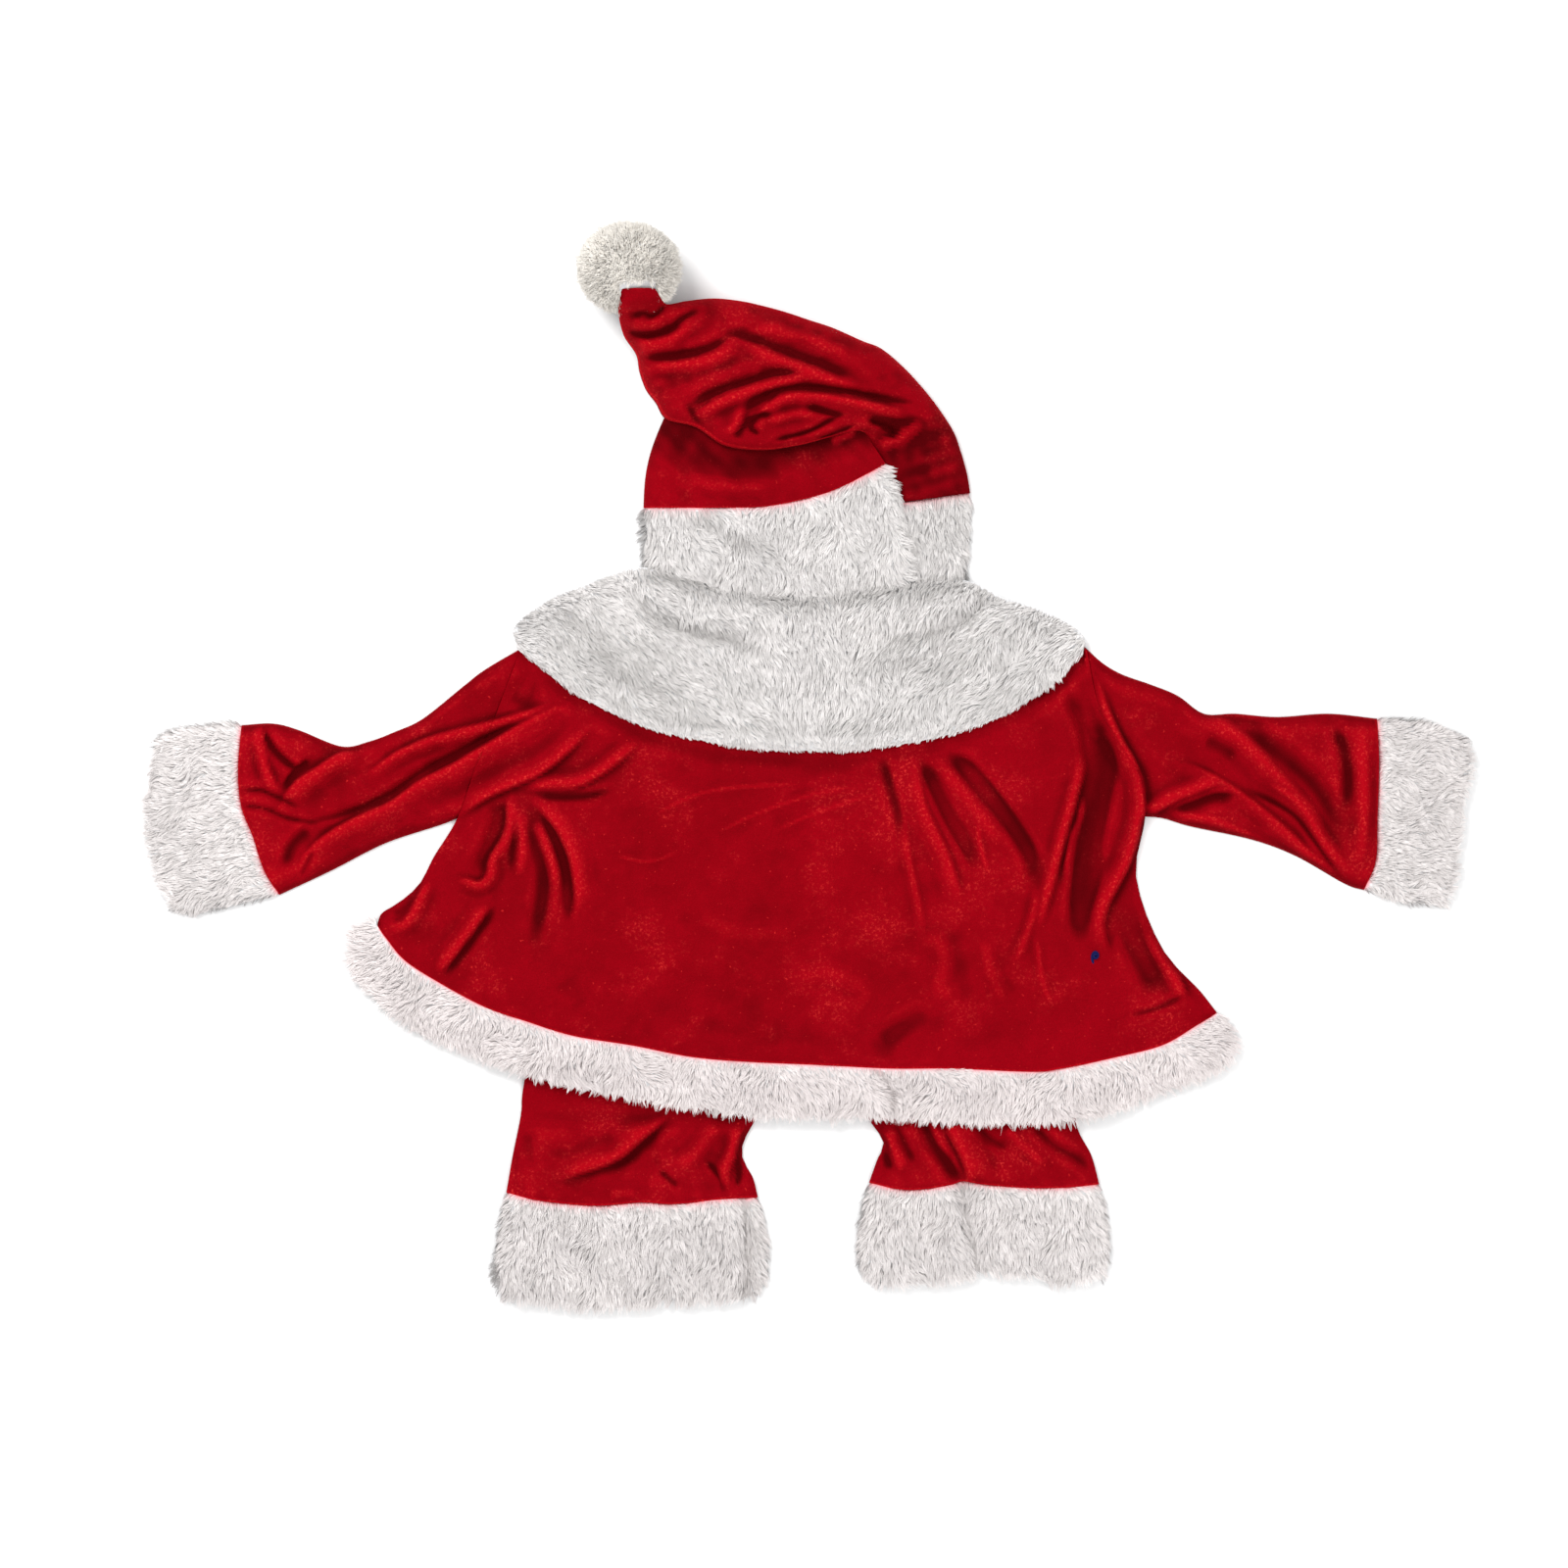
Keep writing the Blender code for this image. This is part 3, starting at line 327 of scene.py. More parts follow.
LEG_FOLDS = {
    "left": [
        (6, 4, 16, [(-81, -208), (-96, -222), (-105, -230), (-116, -239), (-129, -245), (-142, -249),
                    (-156, -254)]),
        (-3, 8, 4, [(-77, -208), (-92, -224), (-102, -233), (-113, -243), (-126, -250)]),
        (3, 8, 9, [(-55, -218), (-69, -237), (-84, -249)]),
        (-2.5, 5, 4, [(-91, -249), (-79, -259)]),
        (5, 3, 8, [(-42, -222), (-46, -238), (-50, -249), (-51, -262)]),
        (-4, 5, 3, [(-38, -230), (-42, -245), (-44, -260)]),
        (-3, 4, 3, [(-62, -243), (-55, -252), (-51, -263)]),
        (-1.2, 8, 8, [(-172, -224), (-168, -248)]),
        (1.2, 6, 6, [(-122, -263), (-104, -262)]),
    ],
    "right": [
        (6, 18, 3.5, [(84, -212), (88, -226), (93, -236), (98, -248), (99, -258)]),
        (-5, 4, 9, [(69, -214), (77, -232), (85, -243), (93, -256)]),
        (-2, 5, 5, [(52, -218), (60, -234), (66, -245)]),
        (3.5, 8, 3, [(47, -224), (53, -238), (57, -250)]),
        (-3.5, 3, 6, [(42, -230), (48, -241), (51, -249)]),
        (-3.5, 7, 7, [(135, -219), (150, -233), (164, -241), (174, -250)]),
        (-2.5, 6, 6, [(101, -219), (111, -229), (123, -236)]),
        (2, 6, 6, [(120, -222), (132, -234), (146, -246)]),
    ],
}
CUFF_FOLDS = {
    "left": [(4, 3, 14, [(-47, -245), (-45.5, -285), (-43, -345)]),
             (-6, 6, 3, [(-41.5, -245), (-40, -285), (-38, -345)])],
    "right": [(4, 4, 14, [(84, -240), (88, -275), (94, -335)]),
              (-8, 10, 4.5, [(90, -240), (94, -264), (98, -285), (102, -306), (105, -335)])],
}
HEM_FOLDS = [
    (-2.5, 9, 9, [(43, -180), (47, -196), (54, -210)]),
    (-1.5, 8, 8, [(-226, -136), (-240, -150)]),
    (-1.5, 10, 10, [(150, -182), (156, -206)]),
]
CAPE_FOLDS = [
    (3.5, 7, 8, [(-104, 112), (-85, 97), (-60, 88), (-30, 84)]),
    (-2.5, 7, 8, [(-110, 106), (-101, 96), (-88, 87), (-62, 79), (-38, 74)]),
    (3, 9, 9, [(96, 113), (94, 101), (76, 93), (50, 88), (20, 93)]),
    (-2.5, 8, 7, [(107, 108), (102, 94), (84, 84), (60, 78)]),
    (-2, 7, 7, [(118, 92), (80, 71), (43, 54)]),
    (-2.5, 7, 7, [(-118, 56), (-95, 41)]),
    (-1.2, 6, 6, [(-60, 24), (-20, 20), (10, 19), (50, 22), (92, 33)]),
]
# Where fur is shaded by a pleat or a crease: how much darker, then as in the folds.
FUR_SHADES = [
    (-0.8, 9, 2.5, [(-42, -240), (-40.5, -285), (-38.5, -350)]),
    (-0.9, 7, 5, [(91, -240), (94, -264), (98, -285), (102, -306), (106, -345)]),
    (-1.0, 8, 7, [(40, -175), (46, -196), (53, -216)]),
    (-0.75, 9, 10, [(-110, 108), (-101, 97), (-88, 89), (-62, 82), (-38, 76), (-20, 70)]),
    (-0.6, 8, 9, [(107, 110), (102, 95), (84, 85), (60, 78), (40, 74)]),
    (-0.4, 12, 12, [(-140, 76), (-118, 60), (-92, 46), (-60, 34)]),
    (-0.35, 6, 7, [(-150, 60), (-128, 45), (-103, 35), (-61, 27), (-20, 25), (20, 25), (60, 29), (92, 37)]),
    (-0.3, 10, 10, [(20, 60), (50, 66), (90, 62), (120, 76)]),
    (-0.3, 9, 9, [(-160, 96), (-138, 84), (-128, 70)]),
    (-0.28, 34, 34, [(-160, 92), (-130, 72), (-100, 62), (-70, 56)]),
    (-0.4, 11, 10, [(-74, 157), (-52, 143), (-28, 132), (-12, 120)]),
    (-0.25, 10, 10, [(-175, -190), (-150, -184), (-120, -190)]),
]
HAT_BAND_FOLDS = [
    (-3.5, 12, 12, [(-80, 150), (-52, 138), (-28, 128)]),
    (-2.5, 10, 10, [(-10, 150), (-4, 125)]),
    (2, 10, 10, [(-42, 150), (-26, 146)]),
]
HAT_CROWN_FOLDS = [
    (-1.2, 12, 12, [(-73, 191), (-58, 183.5), (-40, 181), (-15, 182)]),
    (1.5, 8, 8, [(-78, 174), (-50, 170), (-20, 170)]),
    (2.5, 6, 6, [(13, 198), (24, 203), (30, 208)]),
]
HAT_TIP_FOLDS = [
    # The neck below the pompom.
    (-3, 4, 4, [(-107, 273), (-101, 275), (-94, 274), (-86, 281)]),
    (3, 5, 5, [(-108, 269), (-98, 268), (-87, 272)]),
    (-4.5, 4.5, 3, [(-111, 264), (-103, 262), (-94, 262), (-83, 266), (-77, 272), (-65, 278)]),
    (3, 3, 7, [(-106, 257), (-94, 257), (-82, 261), (-71, 269)]),
    (-4, 6, 3, [(-100, 248), (-86, 248.5), (-75, 250), (-60, 254), (-46, 263)]),
    (3.5, 3, 8, [(-95, 243), (-75, 245), (-58, 249), (-45, 257)]),
    # The long slack folds over the back.
    (-4, 8, 5, [(-52, 264), (-37, 261), (-10, 251), (6, 245), (34, 235)]),
    (2.5, 4, 8, [(-36, 254), (-10, 244), (6, 238), (31, 229)]),
    (2, 6, 6, [(-30, 268), (0, 260), (30, 247)]),
    (-4.5, 8, 2.5, [(-71, 220), (-52, 228.5), (-35, 234), (-21, 238), (0, 240)]),
    (4, 2.5, 8, [(-67, 215), (-50, 224), (-34, 229.5), (-20, 233), (-2, 235)]),
    (-2.5, 4, 4, [(-75, 221), (-67, 208), (-57, 197)]),
    # The swirl where the tip turns back, and the hollow beside the pleat.
    (-5, 6, 2.5, [(-39, 212), (-33, 221), (-25, 226), (-13, 229.5), (6, 229.5), (25, 227), (44, 223),
                  (67, 220.5)]),
    (4.5, 2.5, 9, [(-33, 209), (-29, 216), (-22, 221), (-12, 225), (6, 225), (25, 222), (44, 218.5),
                   (64, 215)]),
    (3, 3, 5, [(-41, 218), (-43, 209), (-50, 201)]),
    (-3, 4, 3, [(-36, 213), (-40, 206), (-46, 199)]),
    (-5, 4, 3, [(-23, 214), (-30, 213), (-35, 208), (-34, 204), (-29, 201)]),
    (3, 5, 5, [(-26, 209), (-6, 214), (7, 212)]),
    (-4, 4, 3, [(0, 218), (13, 214.5), (22, 213)]),
    (-4, 3, 3, [(-21, 198), (0, 203.5), (13, 210), (21, 213.5)]),
    (-3.5, 3, 3, [(4, 198), (21, 204.5), (30, 207.5)]),
    (2.5, 6, 3, [(29, 220), (46, 215), (63, 211)]),
    (-7, 6, 5, [(36, 211), (46, 208), (52, 204.5), (50, 198)]),
    (4, 4, 6, [(43, 195), (56, 200.5), (70, 210)]),
]


def smooth(t):
    """Eases from 0 to 1 as t goes from 0 to 1."""
    t = np.clip(t, 0, 1)
    return t * t * (3 - 2 * t)


def curve(points, at, first=0, last=None):
    """Points at these fractions of a smooth curve through the given points, or of a stretch of it."""
    knots = np.array(points, float)
    last = len(knots) - 1 if last is None else last
    ends = np.vstack([2 * knots[0] - knots[1], knots, 2 * knots[-1] - knots[-2]])
    steps = np.linspace(0, 1, 12, endpoint=False)[:, None]
    runs = []
    for a, b, c, d in list(zip(ends, ends[1:], ends[2:], ends[3:]))[first:last]:
        bend = (2 * a - 5 * b + 4 * c - d) * steps**2 + (3 * b - a - 3 * c + d) * steps**3
        runs.append(b + ((c - a) * steps + bend) / 2)
    fine = np.vstack(runs + [knots[last]])
    length = np.hypot(*np.diff(fine[:, :2], axis=0).T)
    run = np.concatenate([[0], np.cumsum(length)])
    return np.column_stack([np.interp(at * run[-1], run, column) for column in fine.T])


def even(count):
    return np.linspace(0, 1, count + 1)


def patch(top, bottom, left, right, across, down):
    """Grid of x, y between four edges, [row, column], with rows going from top to bottom."""
    t, b = top[None], bottom[None]
    l, r = left[:, None], right[:, None]
    u, v = across[None, :, None], down[:, None, None]
    ruled = (1 - v) * t + v * b + (1 - u) * l + u * r
    corners = (1 - v) * ((1 - u) * t[:, :1] + u * t[:, -1:])
    return ruled - corners - v * ((1 - u) * b[:, :1] + u * b[:, -1:])


def stretched(stations, across, down):
    """Grid between two edges given by stations of x, y, x, y, with rows from the first edge."""
    line = curve(stations, across)
    return line[None, :, :2] + (line[:, 2:4] - line[:, :2])[None] * down[:, None, None]


def beside(points, gap, centre):
    """The same points, moved away from a centre by the gap between two sewn pieces."""
    away = points - np.array(centre, float)
    return points + gap * away / np.linalg.norm(away, axis=1)[:, None]


def fold_height(plan, folds):
    """Height that soft folds add at each x, y of a grid, fading out at their ends."""
    total = np.zeros(plan.shape[:-1])
    for height, left_width, right_width, points in folds:
        reach = max(left_width, right_width)
        line = curve(points, even(24))
        low, high = line.min(axis=0) - reach, line.max(axis=0) + reach
        near = np.all((plan > low) & (plan < high), axis=-1)
        x, y = plan[near].T
        nearest = np.full(x.shape, 1e9)
        offset = np.zeros(x.shape)
        along = np.zeros(x.shape)
        for k, (start, end) in enumerate(zip(line, line[1:])):
            dx, dy = end - start
            t = np.clip(((x - start[0]) * dx + (y - start[1]) * dy) / (dx * dx + dy * dy), 0, 1)
            ex, ey = x - start[0] - t * dx, y - start[1] - t * dy
            far = np.hypot(ex, ey)
            closer = far < nearest
            nearest = np.where(closer, far, nearest)
            offset = np.where(closer, np.sign(dx * ey - dy * ex), offset)
            along = np.where(closer, (k + t) / (len(line) - 1), along)
        width = np.where(offset > 0, left_width, right_width)
        share = np.clip(nearest / width, 0, 1)
        bump = np.cos(share * math.pi / 2) ** 2
        if height < 0:
            sharp = 1 - float(smooth((reach - SHARP_CREASE) / SHARP_CREASE))
            bump = bump + sharp * ((1 - share) ** 2 * (1 + share / 2) - bump)
        total[near] += height * bump * smooth(along / 0.25 + 0.25) * smooth((1 - along) / 0.3 + 0.1)
    return total


def ripple(plan, wavelength, seed):
    """Smooth random waves of about one unit's height over x, y."""
    rng = np.random.default_rng(seed)
    total = np.zeros(plan.shape[:-1])
    for _ in range(9):
        heading, phase = rng.uniform(0, 2 * math.pi, 2)
        rate = 2 * math.pi / (wavelength * rng.uniform(0.7, 1.5))
        ahead = plan[..., 0] * math.cos(heading) + plan[..., 1] * math.sin(heading)
        total += np.sin(rate * ahead + phase)
    return total / 3


def lifted(plan):
    """How far the trousers and the cape fronts lift the jacket at each x, y."""
    x, y = plan[..., 0], plan[..., 1]
    down = (LIFTED_TOP[0] - y) / (LIFTED_TOP[0] - LIFTED_LOW[0])
    left = LIFTED_TOP[1] + down * (LIFTED_LOW[1] - LIFTED_TOP[1])
    right = LIFTED_TOP[2] + down * (LIFTED_LOW[2] - LIFTED_TOP[2])
    return LIFT * smooth(1 + np.minimum(x - left, right - x) / LIFT_RAMP)


def below_cape(plan):
    """0 under the cape and 1 from a little below its lower edge."""
    edge = np.array(CAPE)
    low = np.interp(plan[..., 0], edge[:, 2], edge[:, 3], left=90, right=90)
    return smooth((low - 2 - plan[..., 1]) / 14)


def rounded(t):
    """A quarter circle's rise from 0 to 1 as t goes from 0 to 1."""
    return np.sqrt(1 - (1 - np.clip(t, 0, 1)) ** 2)


def blurred(values, reach):
    """Each value's mean over a square of cells, for telling crests from hollows."""
    padded = np.pad(values, reach, mode="edge")
    for axis in (0, 1):
        sums = np.cumsum(padded, axis=axis)
        first = np.take(sums, [0], axis=axis) * 0
        sums = np.concatenate([first, sums], axis=axis)
        count = padded.shape[axis] - 2 * reach
        high = np.take(sums, range(2 * reach + 1, 2 * reach + 1 + count), axis=axis)
        low = np.take(sums, range(count), axis=axis)
        padded = (high - low) / (2 * reach + 1)
    return padded


def relief(height, spacing=1.7):
    """From -1 in a crease to 1 on a crest, from heights on a grid of about this spacing; the velvet paints
    shade in creases and a highlight on crests from it.
    """
    fine = height - blurred(height, max(2, round(5 / spacing)))
    wide = height - blurred(height, max(3, round(14 / spacing)))
    bend = fine / 1.5 + wide / 5
    return bend / (1 + 0.55 * np.abs(bend))


def build(name, points, polygons, material, values=None, normals=None):
    """A smooth mesh object from points in table millimetres and arrays of corner indices."""
    mesh = bpy.data.meshes.new(name)
    places = (np.asarray(points, float).reshape(-1, 3) - (*LAY_CENTRE, 0)) * MM
    mesh.vertices.add(len(places))
    mesh.vertices.foreach_set("co", places.ravel())
    sizes = np.concatenate([np.full(len(p), p.shape[1]) for p in polygons])
    corners = np.concatenate([p.ravel() for p in polygons])
    mesh.loops.add(len(corners))
    mesh.loops.foreach_set("vertex_index", corners.astype(np.int32))
    mesh.polygons.add(len(sizes))
    mesh.polygons.foreach_set("loop_start", (np.cumsum(sizes) - sizes).astype(np.int32))
    mesh.update(calc_edges=True)
    for key, value in (values or {}).items():
        attribute = mesh.attributes.new(key, "FLOAT", "POINT")
        attribute.data.foreach_set("value", np.asarray(value, np.float32).ravel())
    mesh.shade_smooth()
    if normals is not None:
        mesh.normals_split_custom_set_from_vertices(normals.reshape(-1, 3))
    mesh.materials.append(material)
    piece = bpy.data.objects.new(name, mesh)
    bpy.context.scene.collection.objects.link(piece)
    return piece


def grid_quads(rows, columns, closed=False):
    r, c = np.indices((rows - 1, columns if closed else columns - 1)).reshape(2, -1)
    n = (c + 1) % columns
    here, below = r * columns, (r + 1) * columns
    return np.column_stack([here + c, below + c, below + n, here + n])


def rim(rows, columns):
    """The grid's outer points in order: down the first column, then round."""
    down = [r * columns for r in range(rows)]
    along = [(rows - 1) * columns + c for c in range(1, columns)]
    up = [r * columns + columns - 1 for r in range(rows - 2, -1, -1)]
    return down + along + up + list(range(columns - 2, 0, -1))


def facing(points):
    """1 if the grid's first faces look up, and -1 if they look down."""
    r, c = points.shape[0] // 2, points.shape[1] // 2
    down = points[r + 1, c] - points[r, c]
    across = points[r, c + 1] - points[r, c]
    return 1 if down[0] * across[1] - down[1] * across[0] > 0 else -1


def lowest_near(height, reach):
    """Each height's minimum over a square of cells."""
    padded = np.pad(height, reach, mode="edge")
    rows, columns = height.shape
    shifts = range(2 * reach + 1)
    return np.min([padded[i:i + rows, j:j + columns] for i in shifts for j in shifts], axis=0)


def panel(name, plan, top, wall, material, step, values):
    """A closed sheet from its upper surface, with a coarser underside a wall's thickness below."""
    rows, columns = top.shape
    upper = np.dstack([plan, top])
    under = np.dstack([plan, lowest_near(top, step // 2 + 1) - wall])[::step, ::step]
    under[..., 2] = np.maximum(under[..., 2], FLOOR_GAP)
    edge = rows * columns
    low_rows, low_columns = under.shape[:2]
    fine, coarse = rim(rows, columns), rim(low_rows, low_columns)
    triangles = []
    for k in range(len(coarse)):
        here, after = edge + coarse[k], edge + coarse[(k + 1) % len(coarse)]
        for j in range(step):
            a, b = fine[k * step + j], fine[(k * step + j + 1) % len(fine)]
            triangles.append((b, a, here if j < step / 2 else after))
        triangles.append((here, after, fine[(k * step + (step + 1) // 2) % len(fine)]))
    quads = [grid_quads(rows, columns), edge + grid_quads(low_rows, low_columns)[:, ::-1]]
    polygons = quads + [np.array(triangles)]
    if facing(upper) < 0:
        polygons = [p[:, ::-1] for p in polygons]
    points = np.vstack([upper.reshape(-1, 3), under.reshape(-1, 3)])
    full = {}
    for key, value in values.items():
        full[key] = np.concatenate([value.ravel(), value[::step, ::step].ravel()])
    flat = np.tile((0.0, 0.0, -1.0), (low_rows * low_columns, 1))
    normals = np.vstack([surface_normals(upper, False)[0].reshape(-1, 3), flat])
    return build(name, points, polygons, material, full, normals)


def ring_grid(plan, top, low, fall):
    """Points round a flattened tube: its top from the first column to the last, then its underside.

    fall is how far in from each side the top and the underside start to turn to meet.
    """
    start = np.linalg.norm(plan - plan[:, :1], axis=-1)
    end = np.linalg.norm(plan - plan[:, -1:], axis=-1)
    round_off = rounded(np.minimum(start, end) / fall)
    middle = (low + 0.32 * (np.minimum(top, 8) - low))
    over = middle + (top - middle) * round_off
    below = middle - (middle - low) * round_off
    upper = np.dstack([plan, over])
    lower = np.dstack([plan, below])[:, -2:0:-1]
    lower = lower[:, ::4] if lower.shape[1] > 12 else lower
    return np.concatenate([upper, lower], axis=1)


def shell(name, points, wall, material, values, closed=True):
    """A grid, closed round its columns for an open-ended tube, thickened inwards."""
    quads = grid_quads(*points.shape[:2], closed=closed)
    if facing(points) < 0:
        quads = quads[:, ::-1]
    piece = build(name, points, [quads], material, values)
    solidify = piece.modifiers.new("wall", "SOLIDIFY")
    solidify.thickness = wall * MM
    solidify.offset = -1
    return piece


def links(tree, *pairs):
    for source, target in pairs:
        tree.links.new(source, target)


def node(tree, kind, **settings):
    made = tree.nodes.new(kind)
    for key, value in settings.items():
        if key in made.inputs:
            made.inputs[key].default_value = value
        else:
            setattr(made, key, value)
    return made


def noise(tree, where, scale, detail=2.0, roughness=0.5):
    made = node(tree, "ShaderNodeTexNoise", Scale=scale, Detail=detail, Roughness=roughness)
    links(tree, (where, made.inputs["Vector"]))
    return made.outputs["Fac"]


def ranged(tree, value, low, high, to_low=0.0, to_high=1.0):
    made = node(tree, "ShaderNodeMapRange")
    for key, number in zip(("From Min", "From Max", "To Min", "To Max"), (low, high, to_low, to_high)):
        made.inputs[key].default_value = number
    links(tree, (value, made.inputs["Value"]))
    return made.outputs["Result"]


def blended(tree, share, first, second, mode="MIX"):
    """A colour between two, each a colour or a socket."""
    made = node(tree, "ShaderNodeMix", data_type="RGBA", blend_type=mode)
    for value, key in ((share, "Factor"), (first, "A"), (second, "B")):
        kind = "VALUE" if key == "Factor" else "RGBA"
        socket = [s for s in made.inputs if s.name == key and s.type == kind][0]
        if isinstance(value, (tuple, float, int)):
            socket.default_value = value
        else:
            links(tree, (value, socket))
    return [s for s in made.outputs if s.type == "RGBA"][0]


def product(tree, first, second):
    made = node(tree, "ShaderNodeMath", operation="MULTIPLY")
    for value, socket in ((first, made.inputs[0]), (second, made.inputs[1])):
        if isinstance(value, (float, int)):
            socket.default_value = value
        else:
            links(tree, (value, socket))
    return made.outputs[0]


def new_material(name):
    material = bpy.data.materials.new(name)
    material.use_nodes = True
    tree = material.node_tree
    where = node(tree, "ShaderNodeTexCoord").outputs["Object"]
    return material, tree, tree.nodes["Principled BSDF"], where


def attribute(tree, name):
    return node(tree, "ShaderNodeAttribute", attribute_name=name).outputs["Fac"]


def tinted(red, green, blue):
    return (red, green, blue, 1)


def velvet_material(name):
    """Crushed velvet: deep red pile with crushed patches and stray specks, a painted highlight with bright
    specks on crests, and painted shade in creases.
    """
    material, tree, shader, where = new_material(name)
    bend = attribute(tree, "relief")
    # Relief paints light and shade: crest marks the painted highlight on crests, hollow the painted shade in
    # creases.
    crest = ranged(tree, bend, 0.12, 0.85)
    hollow = ranged(tree, bend, -0.1, -0.85)
    wide = ranged(tree, noise(tree, where, 14, 3, 0.6), 0.35, 0.66)
    middle = ranged(tree, noise(tree, where, 85, 4, 0.65), 0.35, 0.7)
    grain = ranged(tree, noise(tree, where, 900, 3, 0.7), 0.3, 0.7)
    specks = ranged(tree, noise(tree, where, 560, 3, 0.75), 0.54, 0.68)
    stray = ranged(tree, noise(tree, where, 430, 2, 0.6), 0.69, 0.76)
    crushed = ranged(tree, noise(tree, where, 26, 4, 0.65), 0.52, 0.68)
    colour = blended(tree, wide, tinted(0.195, 0.0002, 0.0032), tinted(0.255, 0.0003, 0.0045))
    speckled = blended(tree, crest, product(tree, crushed, 0.9), (1, 1, 1, 1))
    # Painted highlight: the crest layer and the bright specks on crests. Painted shade: the hollow layer. The
    # other layers are the pile's own mottling, crushed patches and stray specks.
    layers = (
        (middle, 0.35, (0.33, 0.0006, 0.0062)),
        (grain, 0.4, (0.12, 0.0001, 0.002)),
        (crest, 0.55, (0.46, 0.002, 0.008)),
        (crushed, 0.3, (0.36, 0.002, 0.008)),
        (product(tree, specks, speckled), 0.6, (0.72, 0.04, 0.032)),
        (stray, 0.55, (0.6, 0.022, 0.02)),
        (hollow, 0.82, (0.035, 0.0001, 0.0007)),
    )
    for mask, share, tint in layers:
        colour = blended(tree, product(tree, mask, share), colour, tinted(*tint))
    links(tree, (colour, shader.inputs["Base Color"]))
    shader.inputs["Roughness"].default_value = 0.85
    shader.inputs["Specular IOR Level"].default_value = 0.02
    shader.inputs["Sheen Weight"].default_value = 0.35
    shader.inputs["Sheen Roughness"].default_value = 0.3
    shader.inputs["Sheen Tint"].default_value = (1.0, 0.02, 0.03, 1)
    bump = node(tree, "ShaderNodeBump", Strength=0.5, Distance=0.0006)
    links(tree, (grain, bump.inputs["Height"]), (bump.outputs["Normal"], shader.inputs["Normal"]))
    soft = node(tree, "ShaderNodeBump", Strength=0.35, Distance=0.002)
    links(tree, (middle, soft.inputs["Height"]), (soft.outputs["Normal"], bump.inputs["Normal"]))
    return material


def fur_material(name, tip, root, blush=(0.85, 0.30, 0.34, 1)):
    """Plush strands with painted shade towards the root, tinted red beside a velvet seam and by a painted
    reflection of the red velvet.
    """
    material, tree, shader, where = new_material(name)
    tone = attribute(tree, "tone")
    colour = blended(tree, tone, root, tip)
    patches = ranged(tree, noise(tree, where, 38, 3, 0.6), 0.3, 0.7, 0.85, 1.0)
    shade = node(tree, "ShaderNodeVectorMath", operation="SCALE")
    links(tree, (colour, shade.inputs[0]), (patches, shade.inputs["Scale"]))
    tinted = blended(tree, attribute(tree, "blush"), shade.outputs[0], blush)
    links(tree, (tinted, shader.inputs["Base Color"]))
    shader.inputs["Roughness"].default_value = 0.5
    shader.inputs["Specular IOR Level"].default_value = 0.35
    shader.inputs["Sheen Weight"].default_value = 0.25
    shader.inputs["Sheen Roughness"].default_value = 0.4
    return material


def backing_material(name, colour):
    """The knitted backing that the fur grows from, seen only between strands."""
    material, tree, shader, where = new_material(name)
    pile = noise(tree, where, 700, 2)
    darker = tuple(0.8 * c for c in colour[:3]) + (1,)
    plain = blended(tree, pile, darker, colour)
    seam = blended(tree, attribute(tree, "blush"), plain, (0.80, 0.22, 0.25, 1))
    links(tree, (seam, shader.inputs["Base Color"]))
    shader.inputs["Roughness"].default_value = 0.9
    bump = node(tree, "ShaderNodeBump", Strength=0.4, Distance=0.0005)
    links(tree, (pile, bump.inputs["Height"]), (bump.outputs["Normal"], shader.inputs["Normal"]))
    return material


def surface_normals(points, closed):
    if closed:
        across = np.roll(points, -1, axis=1) - np.roll(points, 1, axis=1)
    else:
        across = np.gradient(points, axis=1)
    down = np.gradient(points, axis=0)
    up = np.cross(down, across) * facing(points)
    return up / (np.linalg.norm(up, axis=-1)[..., None] + 1e-9), down


def sampled(points, closed, weight, density, rng):
    """Random places on a grid surface: position, directions out and down the rows, row, column."""
    normals, down = surface_normals(points, closed)
    if closed:
        grids = (points, normals, down, weight)
        points, normals, down, weight = (np.concatenate([a, a[:, :1]], axis=1) for a in grids)
    side_a = points[1:, :-1] - points[:-1, :-1]
    side_b = points[:-1, 1:] - points[:-1, :-1]
    area = np.linalg.norm(np.cross(side_a, side_b), axis=-1)
    chance = area * (weight[:-1, :-1] + weight[1:, 1:]) / 2
    count = int(chance.sum() * density)
    cell = rng.choice(chance.size, count, p=(chance / chance.sum()).ravel())
    r, c = np.unravel_index(cell, chance.shape)
    u, v = rng.random((2, count))
    shares = ((1 - u) * (1 - v), (1 - u) * v, u * (1 - v), u * v)
    corners = ((r, c), (r, c + 1), (r + 1, c), (r + 1, c + 1))

    def at(values):
        return sum(share[:, None] * values[i, j] for share, (i, j) in zip(shares, corners))

    up, along = at(normals), at(down)
    rows_at = (r + u) / (points.shape[0] - 1)
    columns_at = (c + v) / (points.shape[1] - 1)
    up /= np.linalg.norm(up, axis=1)[:, None] + 1e-9
    along -= up * np.sum(along * up, axis=1)[:, None]
    along /= np.linalg.norm(along, axis=1)[:, None] + 1e-9
    return at(points), up, along, rows_at, columns_at


def tufts(places, size, rng):
    """For each strand, which tuft of about this size it belongs to, and each tuft's middle."""
    wobble = size * 0.35 * np.column_stack([
        np.sin(places[:, 1] / size * 1.3 + places[:, 2]),
        np.sin(places[:, 0] / size * 1.7), np.zeros(len(places))])
    cells = np.floor((places + wobble) / size).astype(int)
    _, index = np.unique(cells, axis=0, return_inverse=True)
    index = index.reshape(-1)
    counts = np.bincount(index)
    middle = np.column_stack([np.bincount(index, places[:, k]) / counts for k in range(3)])
    return index, middle + rng.normal(0, size * 0.12, middle.shape)


